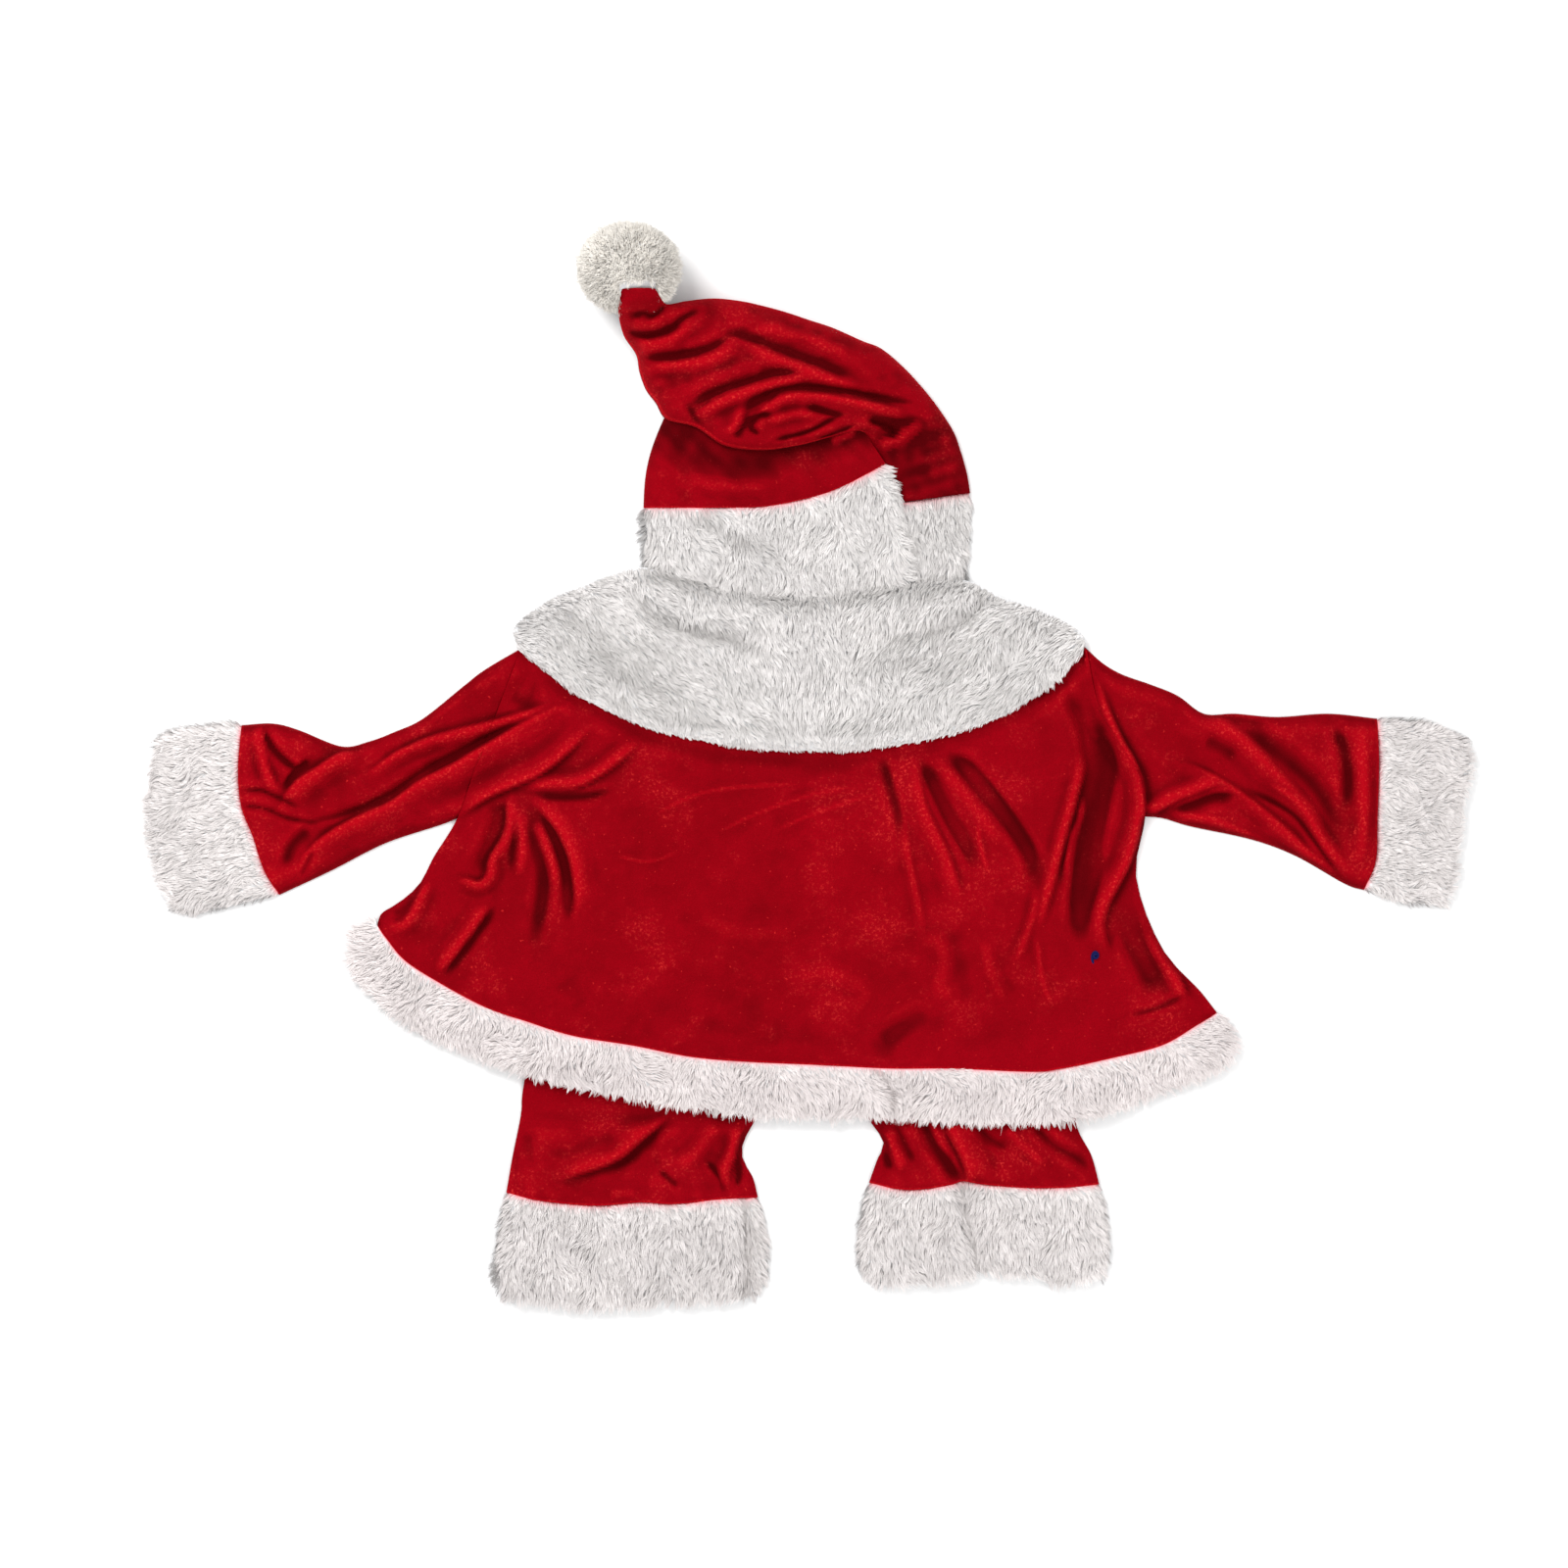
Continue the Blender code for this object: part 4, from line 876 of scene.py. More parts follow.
def fur(name, points, material, flow, length, rise, density, seed, weight=None, closed=False,
        tuft=2.6, gather=0.5, blush_rows=0.0, shorten=None, keep=None, shade=None,
        lean=None, painted_red_reflection=0.0):
    """Curved tapering strands over a grid surface, drawn together into tufts.

    flow gives each strand's heading in radians from the way down the rows, length and rise
    are in millimetres and as a share of the length, and density is strands per square mm.
    """
    rng = np.random.default_rng(seed)
    weight = np.ones(points.shape[:2]) if weight is None else weight
    found = sampled(points, closed, weight, density, rng)
    if keep is not None:
        chosen = keep(found[0])
        found = [a[chosen] for a in found]
    root, up, along, rows_at, columns_at = found
    index, middle = tufts(root, tuft, rng)
    count, tuft_count = len(root), len(middle)

    def drawn(draw, by_tuft, by_strand):
        return draw(*by_tuft, tuft_count)[index], draw(*by_strand, count)

    tuft_turn, own_turn = drawn(rng.normal, (0, TURN_SPREADS[0]), (0, TURN_SPREADS[1]))
    turn = flow(root, rows_at, columns_at) + tuft_turn + own_turn
    across = np.cross(up, along)
    heading = np.cos(turn)[:, None] * along + np.sin(turn)[:, None] * across
    if lean is not None:
        heading += lean(root, rows_at)
        heading -= up * np.sum(heading * up, axis=1)[:, None]
        heading /= np.linalg.norm(heading, axis=1)[:, None] + 1e-9
    tuft_share, own_share = drawn(rng.uniform, *LENGTH_RANGES)
    reach = length * tuft_share * own_share
    if shorten is not None:
        reach *= shorten(root, rows_at, columns_at)
    tuft_share, own_share = drawn(rng.uniform, *RISE_RANGES)
    climb = rise * tuft_share * own_share
    side = np.cross(heading, up)
    tilt = rng.normal(0, STRAND_TWIST, count)[:, None]
    side = side * np.cos(tilt) + up * np.sin(tilt)
    lay = np.sqrt(np.clip(1 - climb**2, 0.1, 1))
    half_way = root + reach[:, None] * (0.42 * lay[:, None] * heading + 0.62 * climb[:, None] * up)
    end = root + reach[:, None] * (0.92 * lay[:, None] * heading + climb[:, None] * up)
    shared = np.column_stack([np.bincount(index, (end - root)[:, k]) for k in range(3)])
    shared = middle + shared / np.bincount(index)[:, None]
    end += gather * (shared[index] - end)
    half_way += 0.3 * gather * (shared[index] - end)
    turned_away = np.sum(np.cross(side, half_way - root) * (0.35 * up + (0, 0, 1)), axis=1) < 0
    side[turned_away] *= -1
    end[:, 2] = np.maximum(end[:, 2], FLOOR_GAP + 0.1)
    half_way[:, 2] = np.maximum(half_way[:, 2], FLOOR_GAP + 0.1)
    broad = STRAND_WIDTH * rng.uniform(0.75, 1.25, count)[:, None] / 2
    strand = np.stack([root - side * broad, root + side * broad, half_way - side * broad * 0.9,
                       half_way + side * broad * 0.9, end], axis=1)
    first = np.arange(count)[:, None] * 5
    polygons = [first + np.array([0, 1, 3, 2]), first + np.array([2, 3, 4])]
    tuft_tone, own_tone = drawn(rng.uniform, *TONE_RANGES)
    bright = tuft_tone + own_tone
    # Painted shade along the FUR_SHADES creases, then each piece's own tone offset.
    bright += fold_height(root[:, :2], FUR_SHADES)
    if shade is not None:
        bright += shade(root)
    tone = np.clip(bright[:, None] + np.array(TONE_GAINS), 0, 1)
    # A painted reflection of the red velvet tints every strand; the seam rows get more red.
    blush = np.full((count, 5), float(painted_red_reflection))
    if blush_rows:
        blush += (np.clip(1 - rows_at / blush_rows, 0, 1) * 0.7)[:, None]
        blush[:, 2:] = painted_red_reflection + 0.3 * (blush[:, 2:] - painted_red_reflection)
    turned = np.array([-0.55, 0.55, -0.55, 0.55, 0])[None, :, None] * side[:, None]
    ahead = np.array([0.1, 0.1, 0.25, 0.25, 0.5])[None, :, None] * heading[:, None]
    skyward = up + (0, 0, 0.8)
    skyward /= np.linalg.norm(skyward, axis=1)[:, None]
    normals = 0.8 * skyward[:, None] + turned + ahead
    normals /= np.linalg.norm(normals, axis=-1)[..., None]
    return build(name, strand, polygons, material, {"tone": tone, "blush": blush}, normals)


def outward(plan):
    """How strands near the two sides of a ring lean out over them."""
    rows = np.linspace(0, 1, plan.shape[0])
    middle = plan.mean(axis=1)
    half = np.linalg.norm(plan[:, 0] - plan[:, -1], axis=1) / 2

    def lean(root, rows_at):
        away = root[:, :2] - np.column_stack([np.interp(rows_at, rows, middle[:, k]) for k in (0, 1)])
        far = np.linalg.norm(away, axis=1) + 1e-9
        push = 0.8 * smooth((far / np.interp(rows_at, rows, half) - 0.84) / 0.16)
        return np.column_stack([away * (push / far)[:, None], np.zeros(len(root))])

    return lean


def seam_tint(values):
    """1 on the first row of a grid, where the fur is sewn to the velvet, and 0 on the rest."""
    tint = np.zeros(values.shape)
    tint[0] = 1
    return tint


def steady(angle, spread=0.45, size=26, seed=1):
    """A heading that wanders smoothly about one angle."""
    return lambda root, rows_at, columns_at: angle + spread * ripple(root[:, :2], size, seed)


def dress(piece, nodes):
    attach(piece, "root")
    if nodes:
        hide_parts(*nodes)
    return piece


def jacket(velvet):
    """The back panel with all its folds, and the plain front panel under it."""
    columns, rows = 288, 160
    across, down = even(columns), even(rows)
    left = jacket_side(JACKET_LEFT, UNDERARM_LEFT, rows)
    right = jacket_side(JACKET_RIGHT, UNDERARM_RIGHT, rows)
    seam = curve([row[:2] for row in HEM], across)
    plan = patch(curve(JACKET_TOP, across), seam, left, right, across, down)
    u, v = across[None, :], down[:, None]
    side = np.minimum(u, 1 - u)
    below_arm = smooth((v - ARMHOLE_SHARE + 0.03) / 0.06)
    inside = (1 - below_arm * (1 - smooth(side / 0.014))) * below_cape(plan)
    to_hem = smooth((v - 0.85) / 0.15)
    at_arm = 0.6 * (1 - below_arm)
    rise = at_arm + (1 - at_arm) * smooth(side / 0.1)
    puff = 2.4 * rise * below_cape(plan) * (1 - 0.6 * to_hem) + 1.4 * to_hem * smooth(side / 0.03)
    folds = fold_height(plan, BODY_FOLDS + SLEEVE_FOLDS["left"] + SLEEVE_FOLDS["right"])
    waves = 0.55 * ripple(plan, 60, 4) + 0.14 * ripple(plan, 22, 5)
    height = np.maximum(puff + (folds + waves) * inside, -0.3)
    height -= 0.4 * smooth(1 - (1 - v) / 0.018)
    top = lifted(plan) + 2 * VELVET_WALL + LAYER_GAP + height
    top -= 1.4 * below_arm * smooth(1 - side * 430 / 3.0)
    # Painted shade in creases and from BODY_SHADES, painted highlight on crests and along the hem seam.
    bend = relief(height, 1.6) + fold_height(plan, BODY_SHADES)
    bend[-1] = PAINTED_EDGE_HIGHLIGHT
    back = panel("jacket_back_velvet", plan, top, VELVET_WALL, velvet, 4, {"relief": bend})
    nearest = np.argmin(np.hypot(*(plan - THREAD_PLACE).reshape(-1, 2).T))
    thread_height = top.ravel()[nearest]
    dress(back, ["jacket_back"])

    plan = plan[::8, ::8]
    top = lifted(plan) + VELVET_WALL
    plain = {"relief": np.zeros(top.shape)}
    front = panel("jacket_front_velvet", plan, top, VELVET_WALL, velvet, 1, plain)
    dress(front, ["jacket_front"])
    return thread_height


def jacket_side(points, underarm, rows):
    """One side of the jacket, its rows shared between armhole and side seam as in the part."""
    hole = round(rows * ARMHOLE_SHARE)
    armhole = curve(points, even(hole), 0, underarm)
    return np.vstack([armhole, curve(points, even(rows - hole), underarm)[1:]])


def hems(backing, strands):
    """The fur bands on the jacket's back and front hem."""
    across = even(288)
    line = np.array(HEM, float)
    line[:, :2] = beside(line[:, :2], FUR_SEAM, (0, 60))
    down = np.linspace(0, 0.84, 17)
    plan = stretched(line, across, down)
    ends = smooth(np.minimum(across, 1 - across) / 0.03 + 0.25)[None]
    swell = np.sin(np.linspace(0.12, 1, 17) * math.pi)[:, None]
    base = lifted(plan) + FUR_UNDER + LAYER_GAP
    dips = fold_height(plan, HEM_FOLDS) + 0.5 * ripple(plan, 30, 9)
    top = base + (1.0 + 1.8 * swell + dips * swell) * ends + 0.3
    back = panel("hem_back_cloth", plan, top, THIN_WALL, backing, 4, {"blush": seam_tint(top)})
    dress(back, ["hem_back"])
    points = np.dstack([plan, top])
    slant = steady(0.2, 0.8, 34, 21)
    # Painted light makes the hem's strands lighter all over, and a painted reflection of the red velvet tints
    # them.
    pile = fur("hem_back_fur", points, strands, slant, 9.0, 0.42, density=1.65, seed=31,
               blush_rows=0.07, painted_red_reflection=0.07, shade=lambda root: 0.3,
               shorten=lambda root, rows_at, columns_at: 0.55 + 0.45 * smooth(rows_at / 0.2))
    dress(pile, [])
    low_edge = np.zeros(points.shape[:2])
    low_edge[-4:, 10:-10] = 1
    # A painted reflection of the red velvet tints the fringe.
    fringe = fur("hem_fringe_fur", points, strands, steady(0.0, 0.5, 20, 27), 10.5, 0.12,
                 density=1.3, seed=41, weight=low_edge, tuft=3.0, gather=0.85, painted_red_reflection=0.05)
    dress(fringe, [])

    plan = plan[::4, ::8]
    top = lifted(plan) + FUR_UNDER - 0.4
    front = panel("hem_front_cloth", plan, top, THIN_WALL, backing, 1, {})
    dress(front, ["hem_front"])
    points = np.dstack([plan, top])
    edge = np.zeros(points.shape[:2])
    edge[-3:] = 1
    edge[:, :3] = edge[:, -3:] = 1
    pile = fur("hem_front_fur", points, strands, steady(0.0, 0.3, 30, 8), 6.0, 0.28,
               density=0.5, seed=32, weight=edge)
    dress(pile, [])


def cape(backing, strands):
    """The cape's back with its rolled neck, and its fronts under the jacket."""
    rows, columns = 32, 160
    across, down = even(columns), even(rows)
    line = np.array(CAPE, float)
    plan = stretched(line, 0.006 + 0.988 * across, 0.985 * down)
    outer = stretched(line, 0.006 + 0.988 * across, np.array([0.0, 1.0]))
    length = np.hypot(*(outer[1] - outer[0]).T)[None]
    from_top = length * down[:, None]
    to_edge = np.minimum(length * (1 - down[:, None]), 400 * np.minimum(across, 1 - across)[None])
    level = lifted(plan) + 2 * VELVET_WALL + LAYER_GAP + CAPE_CLEARANCE
    under = CAPE_EDGE_LIFT + (level - CAPE_EDGE_LIFT) * smooth(from_top / 8)
    under = np.maximum(under, np.minimum(level, CAPE_EDGE_LIFT + 1))
    roll = rounded(np.minimum(from_top, to_edge) / 7)
    waves = 0.5 * ripple(plan, 45, 12) + 0.3 * ripple(plan, 18, 13)
    top = under + 0.6 + 1.9 * roll + (fold_height(plan, CAPE_FOLDS) + waves) * roll
    back = panel("cape_back_cloth", plan, top, CAPE_WALL, backing, 4, {})
    dress(back, ["cape_back"])
    points = np.dstack([plan, top])

    def heading(root, rows_at, columns_at):
        return 1.3 * (0.5 - columns_at) + 0.1 + 0.4 * ripple(root[:, :2], 40, 22)

    def rim_short(root, rows_at, columns_at):
        return 0.32 + 0.68 * smooth((1 - rows_at) / 0.13)

    # Painted shadow in the fur just below the hat's brim, and the whole cape a little darker.
    def under_band(root):
        brim = np.array([row[2:4] for row in HAT_OVER_PLEAT + HAT_UNDER_PLEAT[1:]])
        below = np.interp(root[:, 0], *brim.T, left=0, right=0) - root[:, 1]
        return -0.06 - 0.7 * smooth(1 - np.abs(below - 4) / 7)

    pile = fur("cape_back_fur", points, strands, heading, 9.0, 0.38, density=1.55, seed=33,
               shorten=rim_short, shade=under_band)
    dress(pile, [])

    for side, stations in CAPE_FRONTS.items():
        plan = stretched(stations, even(24), even(12))
        top = np.full(plan.shape[:2], FUR_UNDER - 0.4)
        front = panel(f"cape_front_{side}_cloth", plan, top, CAPE_WALL, backing, 1, {})
        dress(front, [f"cape_front_{side}"])


def sleeve(side, velvet, backing, strands):
    """One flattened sleeve with its folds, and its fur cuff."""
    edges = SLEEVES[side]
    sides = {"left": (JACKET_LEFT, UNDERARM_LEFT), "right": (JACKET_RIGHT, UNDERARM_RIGHT)}
    armhole, underarm = sides[side]
    along, round_it = even(96), even(60)
    hole = curve(armhole, round_it, 0, underarm)
    top, bottom = np.array(edges["top"], float), np.array(edges["bottom"], float)
    top[0], bottom[0] = hole[0], hole[-1]
    seam = curve(edges["seam"], round_it)
    plan = patch(curve(top, along), curve(bottom, along), hole, seam, along, round_it).transpose(1, 0, 2)
    across, length = round_it[None], along[:, None]
    rim_off = np.minimum(across, 1 - across)
    flat = 2 * VELVET_WALL + FUR_INNER_GAP
    middle = smooth(rim_off / 0.12) * (0.55 + 0.45 * smooth(length / 0.1))
    lift = 2.6 * middle + 1.5 * smooth((length - 0.8) / 0.2) * smooth(rim_off / 0.1)
    waves = 0.4 * ripple(plan, 34, 6) + 0.15 * ripple(plan, 14, 7)
    folds = fold_height(plan, BODY_FOLDS + SLEEVE_FOLDS[side])
    height = lift + (folds + waves) * smooth(rim_off / 0.05)
    height -= 0.7 * smooth(1 - (1 - length) / 0.02)
    over = np.maximum(flat + height, flat - 0.4)
    plan[0] -= 0.8 * (plan[1] - plan[0])
    over[0] -= 0.9
    points = ring_grid(plan, over, FLOOR_GAP, 3.2)
    bend = np.zeros(points.shape[:2])
    # Painted shade in creases, painted highlight on crests and along the cuff seam.
    bend[:, :plan.shape[1]] = relief(height, 1.6)
    bend[-1, :plan.shape[1]] = PAINTED_EDGE_HIGHLIGHT
    piece = shell(f"sleeve_{side}_velvet", points, THIN_WALL, velvet, {"relief": bend})
    dress(piece, [f"sleeve_{side}"])

    away = -FUR_SEAM if side == "left" else FUR_SEAM
    wrist = seam + (away, 0)
    cuff_top, cuff_bottom = np.array(edges["cuff_top"], float), np.array(edges["cuff_bottom"], float)
    cuff_top[0], cuff_bottom[0] = wrist[0], wrist[-1]
    flow = steady(0.1, 0.5, 24, 24)
    cuff(f"sleeve_cuff_{side}", cuff_top, cuff_bottom, wrist, edges["cuff_end"], [], backing, strands,
         flow, 7.5, 0.36, 34)


def upper_side(points, plan):
    """1 on the top of a flattened ring, whose fur shows, and 0 on its underside."""
    weight = np.zeros(points.shape[:2])
    weight[:, :plan.shape[1]] = 1
    return weight


def cuff(name, first_edge, second_edge, seam, end, folds, backing, strands, flow, length, rise, seed):
    """A flattened ring of fur cloth: its backing, and its strands."""
    along, round_it = even(18), even(60)
    first_side, second_side = curve(first_edge, along), curve(second_edge, along)
    plan = patch(first_side, second_side, seam, curve(end, round_it), along, round_it).transpose(1, 0, 2)
    centre = plan.mean(axis=1, keepdims=True)
    away = plan - centre
    room = 0.6 + 2.0 * smooth(along / 0.35)
    plan = centre + away * (1 - room / np.linalg.norm(away, axis=-1).max(axis=1))[:, None, None]
    plan = plan[0] + (plan - plan[0]) * 0.94
    inner = FUR_UNDER + FUR_INNER_GAP
    arch = np.sin(np.linspace(0.15, 0.94, 19) * math.pi)[:, None] ** 0.7
    over = inner + 0.3 + 2.4 * arch + (fold_height(plan, folds) + 0.5 * ripple(plan, 26, seed)) * arch
    points = ring_grid(plan, np.maximum(over, inner), FLOOR_GAP, 6)
    ring = shell(name + "_cloth", points, THIN_WALL, backing, {"blush": seam_tint(points[..., 2])})
    dress(ring, [name])
    # A painted reflection of the red velvet tints the strands.
    pile = fur(name + "_fur", points, strands, flow, length, rise, density=1.75, seed=seed,
               weight=upper_side(points, plan), closed=True, blush_rows=0.05, painted_red_reflection=0.03,
               lean=outward(plan), shade=lambda root: 0.1,
               shorten=lambda root, rows_at, columns_at: 0.6 + 0.4 * smooth(rows_at / 0.15))
    dress(pile, [])


def leg(side, velvet, backing, strands):
    """Back and front panel of one leg, folded as they show below the hem, and its fur cuff."""
    edges = LEGS[side]
    across = even(88)
    down = np.concatenate([np.linspace(0, 0.72, 25)[:-1], np.linspace(0.72, 1, 49)])
    seam = curve(edges["seam"], across)
    left, right = curve(edges["left"], down), curve(edges["right"], down)
    plan = patch(curve(edges["top"], across), seam, left, right, across, down)
    past_hem = smooth((HEM_EDGE_Y + 8 - plan[..., 1]) / 12)
    side_off = np.minimum(across, 1 - across)[None]
    to_seam = smooth((HEM_EDGE_Y - 14 - plan[..., 1]) / 18)
    waves = 0.45 * ripple(plan, 36, 14) + 0.2 * ripple(plan, 15, 15)
    height = past_hem * (2 * smooth(side_off / 0.12) + (fold_height(plan, LEG_FOLDS[side]) + waves)
                         * smooth(side_off / 0.04)) + 1.2 * to_seam
    height -= 0.5 * smooth(1 - (1 - down[:, None]) / 0.009)
    top = 2 * VELVET_WALL + LAYER_GAP + np.maximum(height, -0.4)
    top -= 1.4 * smooth(1 - side_off * 150 / 3)
    # Painted shade in creases, painted highlight on crests and along the cuff seam.
    bend = relief(height)
    bend[-1] = PAINTED_EDGE_HIGHLIGHT
    back = panel(f"trouser_back_{side}_velvet", plan, top, VELVET_WALL, velvet, 4, {"relief": bend})
    dress(back, [f"trouser_back_{side}"])
    plan = plan[::4, ::8]
    top = np.full(plan.shape[:2], VELVET_WALL)
    plain = {"relief": np.zeros(top.shape)}
    front = panel(f"trouser_front_{side}_velvet", plan, top, THIN_WALL, velvet, 1, plain)
    dress(front, [f"trouser_front_{side}"])

    round_it = even(60)
    low_seam = curve(edges["seam"], round_it) - (0, FUR_SEAM)
    cuff_left, cuff_right = np.array(edges["cuff_left"], float), np.array(edges["cuff_right"], float)
    cuff_left[0], cuff_right[0] = low_seam[0], low_seam[-1]
    cuff(f"trouser_cuff_{side}", cuff_left, cuff_right, low_seam, edges["cuff_end"], CUFF_FOLDS[side],
         backing, strands, steady(0.05, 0.4, 30, 25), 9.5, 0.40, 36)


def waist(velvet):
    """The elastic's casing round the trouser waist, pressed flat under the jacket."""
    left, right = WAIST_ENDS
    down = np.linspace(WAIST_TOP, WAIST_SEAM + SEAM_GAP, 7)
    plan = np.dstack(np.meshgrid(np.linspace(left, right, 60), down))
    gathers = 0.12 * np.sin(plan[..., 0] * 1.1)
    points = ring_grid(plan, 2.8 + gathers, FLOOR_GAP, 1.5)
    piece = shell("trouser_waist_velvet", points, WAIST_WALL, velvet, {"relief": np.zeros(points.shape[:2])})
    dress(piece, ["trouser_waist"])


def hat_band(backing, strands):
    """The fur band, with its left part lapped over its right at the pleat."""
    columns = np.vstack([curve(HAT_OVER_PLEAT, even(70)), curve(HAT_UNDER_PLEAT, even(22))])
    seam, brim, height = columns[:, :2], columns[:, 2:4], columns[:, 4]
    rows = np.linspace(0, 1.0, 20)
    plan = seam[None] + (brim - seam)[None] * rows[:, None, None]
    left, right = plan[:, :1], plan[:, -1:]
    side = np.minimum(np.linalg.norm(plan - left, axis=-1), np.linalg.norm(plan - right, axis=-1))
    plan[..., 0] += (0.6 + 1.6 * rows)[:, None] * np.sign(-plan[..., 0]) * smooth(1 - side / 20)
    rounding = np.sin(np.linspace(0.25, 0.94, 20) * math.pi)[:, None] ** 0.5
    waves = fold_height(plan, HAT_BAND_FOLDS) + 0.6 * ripple(plan, 30, 16)
    over = 4.9 + (height - 8.3)[None] * rounding + waves * rounding
    points = ring_grid(plan, np.maximum(over, 3.9), FLOOR_GAP, 7)
    ring = shell("hat_band_cloth", points, BAND_WALL, backing, {"blush": seam_tint(points[..., 2])})
    dress(ring, ["hat_band"])

    def left_of_pleat(root):
        return 47 + (184 - root[:, 1]) * 16 / 71 - root[:, 0]

    def heading(root, rows_at, columns_at):
        gap = left_of_pleat(root)
        over_edge = 0.9 * smooth(1 - gap / 9) * (gap > -1)
        return 0.4 * smooth((-10 - root[:, 0]) / 50) + over_edge + 0.45 * ripple(root[:, :2], 30, 23)

    # Painted shade on the band right of the pleat, and a little painted light along the lapped edge left of
    # it.
    def shade(root):
        gap = left_of_pleat(root)
        return np.where(gap < -1, -0.18 - 0.25 * smooth(1 + gap / 12), 0.08 * smooth(1 - gap / 12))

    pile = fur("hat_band_fur", points, strands, heading, 8.5, 0.4, density=1.75, seed=38,
               weight=upper_side(points, plan), closed=True, blush_rows=0.05, shade=shade, lean=outward(plan))
    dress(pile, [])


def hat_crown(velvet):
    """The crown left of the pleat, from the band's seam up to under the folded tip."""
    across, down = even(112), even(40)
    columns = curve(HAT_OVER_PLEAT, across)
    seam, height = columns[:, :2], columns[:, 4]
    lip = curve([row[:2] for row in HAT_TIP], across, *TIP_LIP)
    high = lip + (0, 4)
    high[:, 1] = np.maximum(high[:, 1], seam[:, 1] + 12)
    plan = seam[None] + (high - seam)[None] * down[:, None, None]
    plan[..., 0] -= 4 * np.sin(down * math.pi)[:, None] * (1 - smooth(across / 0.25))[None]
    sag = 0.78 + 0.14 * np.sin(np.clip(down * 1.2, 0, 1) * math.pi)[:, None]
    relief_height = fold_height(plan, HAT_CROWN_FOLDS)
    relief_height = relief_height + 0.4 * ripple(plan, 34, 17) + 0.15 * ripple(plan, 13, 18)
    top = height[None] * sag + relief_height - 0.5 * smooth(1 - down[:, None] / 0.05)
    side = np.linalg.norm(plan - plan[:, :1], axis=-1)
    top *= 0.25 + 0.75 * rounded(side / 9)
    # Painted shade under the tip's lip, darkest near it, and a painted highlight along the band seam.
    bend = relief(relief_height, 1.2) - 0.8 * smooth((down[:, None] - 0.2) / 0.7)
    bend[0] = PAINTED_EDGE_HIGHLIGHT
    plan, top, bend = plan[::-1], top[::-1], bend[::-1]
    piece = panel("hat_crown_velvet", plan, top, VELVET_WALL, velvet, 4, {"relief": bend})
    dress(piece, ["hat_crown"])


def hat_tip(velvet):
    """The tip folded over the crown, from the pompom round to the seam right of the pleat."""
    rows, columns = 128, 72
    lines = curve(HAT_TIP, even(rows) ** 1.15)
    low_edge, high_edge = lines[:, :2], lines[:, 2:4]
    floor, top, lip = (np.maximum(lines[:, k], 0) for k in (4, 5, 6))
    across = even(columns)
    plan = low_edge[:, None] + (high_edge - low_edge)[:, None] * across[None, :, None]
    breadth = np.linalg.norm(high_edge - low_edge, axis=1)[:, None]
    from_low, from_high = breadth * across[None], breadth * (1 - across[None])
    roll_low = rounded(from_low / 9)
    roll_high = rounded(from_high / 12)
    arch = np.sin(across * math.pi)[None] ** 0.6
    inner = smooth(np.minimum(from_low, from_high) / 7)
    detail = fold_height(plan, HAT_TIP_FOLDS) + 0.5 * ripple(plan, 30, 19) + 0.2 * ripple(plan, 12, 20)
    body = lip[:, None] + (top - lip)[:, None] * (0.75 * arch + 0.25) + detail * inner
    start, end = lip[:, None] - 1.5, (floor + 0.3 * (top - floor))[:, None]
    height = start + (body - start) * roll_low
    height = end + (height - end) * roll_high
    surface = np.dstack([plan, height])
    way = (high_edge - low_edge) / breadth
    steps = np.array([1.0, 0.5])
    tuck = [np.column_stack([low_edge + way * 4 * s, lip - 1.5 - 1.6 * s]) for s in steps]
    ground = np.maximum(floor, FLOOR_GAP)
    drop = [np.column_stack([high_edge - way * 0.6 * s, end[:, 0] * (1 - s) + s * ground])
            for s in (0.5, 1.0)]
    under = np.column_stack([high_edge - way * 6, ground])
    points = np.concatenate([np.stack(tuck, axis=1), surface, np.stack(drop + [under], axis=1)], axis=1)
    bend = np.zeros(points.shape[:2])
    # Painted shade over the tip's right end beside the pleat, and a painted highlight along the lip's edge.
    in_shade = smooth((plan[..., 0] - 38) / 14) * smooth((226 - plan[..., 1]) / 24)
    bend[:, 2:-3] = relief(detail * inner, 1.3) - 0.45 * in_shade - 0.12
    bend[:, 3] = PAINTED_EDGE_HIGHLIGHT
    piece = shell("hat_tip_velvet", points, THIN_WALL, velvet, {"relief": bend}, closed=False)
    dress(piece, ["hat_tip"])


def pompom(backing, strands):
    """A stuffed ball of fur cloth, with the hat's tip sewn on at its upper side."""
    centre = np.array(POMPOM_CENTRE, float)
    rows, columns = 25, 48
    polar = np.linspace(0.02, math.pi - 0.02, rows)[:, None]
    turn = np.linspace(0, 2 * math.pi, columns, endpoint=False)[None]
    level = np.sin(polar)
    out = np.dstack([level * np.cos(turn), level * np.sin(turn), np.cos(polar) + 0 * turn])
    points = centre + POMPOM_CORE * out
    ends = [np.arange(columns)[None, ::-1], (rows - 1) * columns + np.arange(columns)[None]]
    quads = grid_quads(rows, columns, closed=True)
    core = build("pompom_core", points, [quads, *ends], backing, {})
    dress(core, ["hat_pompom"])

    def clear_of_tip(root):
        return ~((np.abs(root[:, 0] + 104) < 11) & (root[:, 1] < 294) & (root[:, 2] > 36))

    def anywhere(root, rows_at, columns_at):
        return np.random.default_rng(26).uniform(0, 2 * math.pi, len(root))

    spread = fur("pompom_fur", points[::-1], strands, anywhere, 7.5, 0.66, density=2.8, seed=40,
                 closed=True, tuft=2.2, gather=0.45, keep=clear_of_tip)
    dress(spread, [])


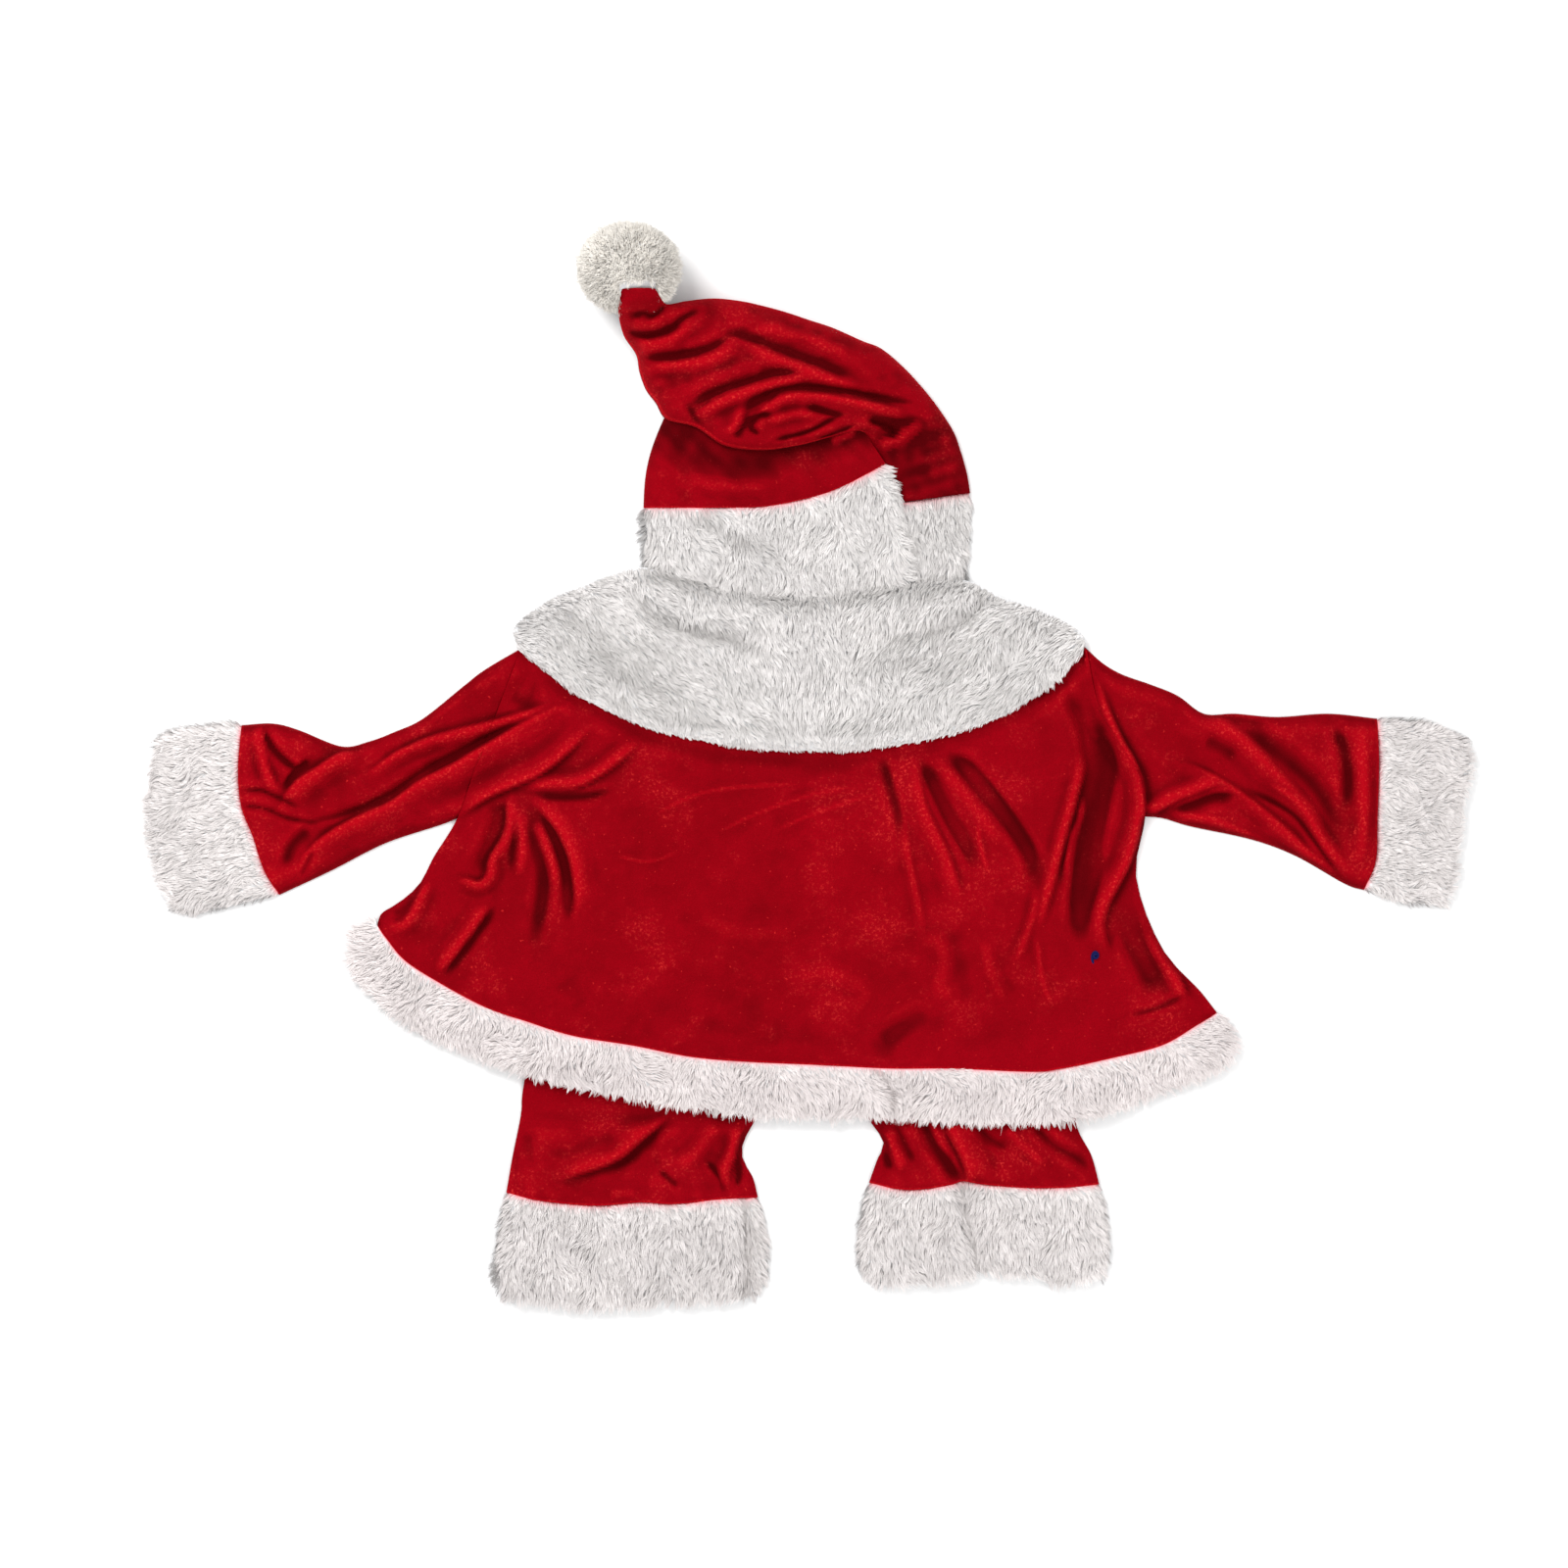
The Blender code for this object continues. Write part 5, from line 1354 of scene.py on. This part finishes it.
def thread_tack(height):
    """A leftover tack of blue thread on the jacket's right side."""
    material, tree, shader, where = new_material("blue_thread")
    twist = noise(tree, where, 2500, 2)
    blue = blended(tree, twist, tinted(0.003, 0.004, 0.035), tinted(0.006, 0.01, 0.09))
    links(tree, (blue, shader.inputs["Base Color"]))
    shader.inputs["Roughness"].default_value = 0.8
    shader.inputs["Specular IOR Level"].default_value = 0.1
    loop = [(-1.2, -4.6, -0.6), (-1.8, -1.5, 0.3), (-1.6, 1.8, 0.6), (0.3, 4.0, 0.7), (2.2, 2.6, 0.7),
            (2.0, 0.2, 0.7), (0.2, -0.6, 1.1), (-0.9, 0.8, 1.5), (0.2, 2.6, 1.5), (1.3, 1.4, 1.4)]
    loop = (0.8, 0.8, 0.9) * np.array(loop) + (*THREAD_PLACE, height)
    path = curve(loop, even(60))
    around, thick = 8, 0.9
    ahead = np.gradient(path, axis=0)
    ahead /= np.linalg.norm(ahead, axis=1)[:, None]
    side = np.cross(ahead, (0, 0, 1))
    side /= np.linalg.norm(side, axis=1)[:, None]
    up = np.cross(side, ahead)
    turn = np.linspace(0, 2 * math.pi, around, endpoint=False)
    sine, cosine = np.sin(turn)[None, :, None], np.cos(turn)[None, :, None]
    points = path[:, None] + thick * (cosine * side[:, None] + sine * up[:, None])
    last = (len(path) - 1) * around
    ends = [np.arange(around)[None], last + np.arange(around)[None, ::-1]]
    quads = grid_quads(len(path), around, closed=True)[:, ::-1]
    piece = build("thread_tack", points, [quads, *ends], material)
    dress(piece, [])


def surroundings():
    """Pale floor, soft lights from above, and the camera over the middle of the picture."""
    scene = bpy.context.scene
    material, _, shader, _ = new_material("pale_floor")
    shader.inputs["Base Color"].default_value = (0.86, 0.86, 0.86, 1)
    shader.inputs["Roughness"].default_value = 0.9
    mesh = bpy.data.meshes.new("floor")
    half, level = 6, -0.0002
    corners = [(x, y, level) for x, y in ((-half, -half), (half, -half), (half, half), (-half, half))]
    mesh.from_pydata(corners, [], [(0, 1, 2, 3)])
    mesh.materials.append(material)
    floor = bpy.data.objects.new("floor", mesh)
    scene.collection.objects.link(floor)

    world = bpy.data.worlds.new("studio")
    world.use_nodes = True
    world.node_tree.nodes["Background"].inputs["Color"].default_value = (1.0, 1.0, 1.0, 1)
    world.node_tree.nodes["Background"].inputs["Strength"].default_value = 1.0
    scene.world = world
    lamps = (("key", (-0.8, 1.0, 1.6), 0.9, 25), ("fill", (0.9, -1.1, 1.6), 1.4, 13))
    for name, place, size, power in lamps:
        light = bpy.data.lights.new(name, "AREA")
        light.shape, light.size, light.energy = "DISK", size, power
        lamp = bpy.data.objects.new(name, light)
        lamp.location = place
        lamp.rotation_mode = "QUATERNION"
        lamp.rotation_quaternion = (-lamp.location).to_track_quat("-Z", "Y")
        scene.collection.objects.link(lamp)

    camera = bpy.data.cameras.new("camera")
    camera.sensor_width = SENSOR
    camera.lens = SENSOR * CAMERA_HEIGHT / FRAME_WIDTH
    camera.clip_start, camera.clip_end = 0.05, 50
    seat = bpy.data.objects.new("camera", camera)
    x, y = (np.array(FRAME_CENTRE) - LAY_CENTRE) * MM
    seat.location = (x, y, CAMERA_HEIGHT * MM)
    scene.collection.objects.link(seat)
    scene.camera = seat
    scene.view_settings.view_transform = "Standard"


def main():
    velvet = velvet_material("red_velvet")
    backing = backing_material("fur_backing", (0.80, 0.80, 0.81, 1))
    # The darker root colours are painted shade deep in the pile.
    strands = fur_material("white_fur", (0.975, 0.94, 0.925, 1), (0.60, 0.575, 0.56, 1))
    cream = fur_material("pompom_fur", (1.0, 0.955, 0.885, 1), (0.90, 0.84, 0.76, 1))
    surroundings()
    thread_height = jacket(velvet)
    hems(backing, strands)
    cape(backing, strands)
    for side in ("left", "right"):
        sleeve(side, velvet, backing, strands)
        leg(side, velvet, backing, strands)
    waist(velvet)
    hat_band(backing, strands)
    hat_crown(velvet)
    hat_tip(velvet)
    pompom(backing, cream)
    thread_tack(thread_height)


main()
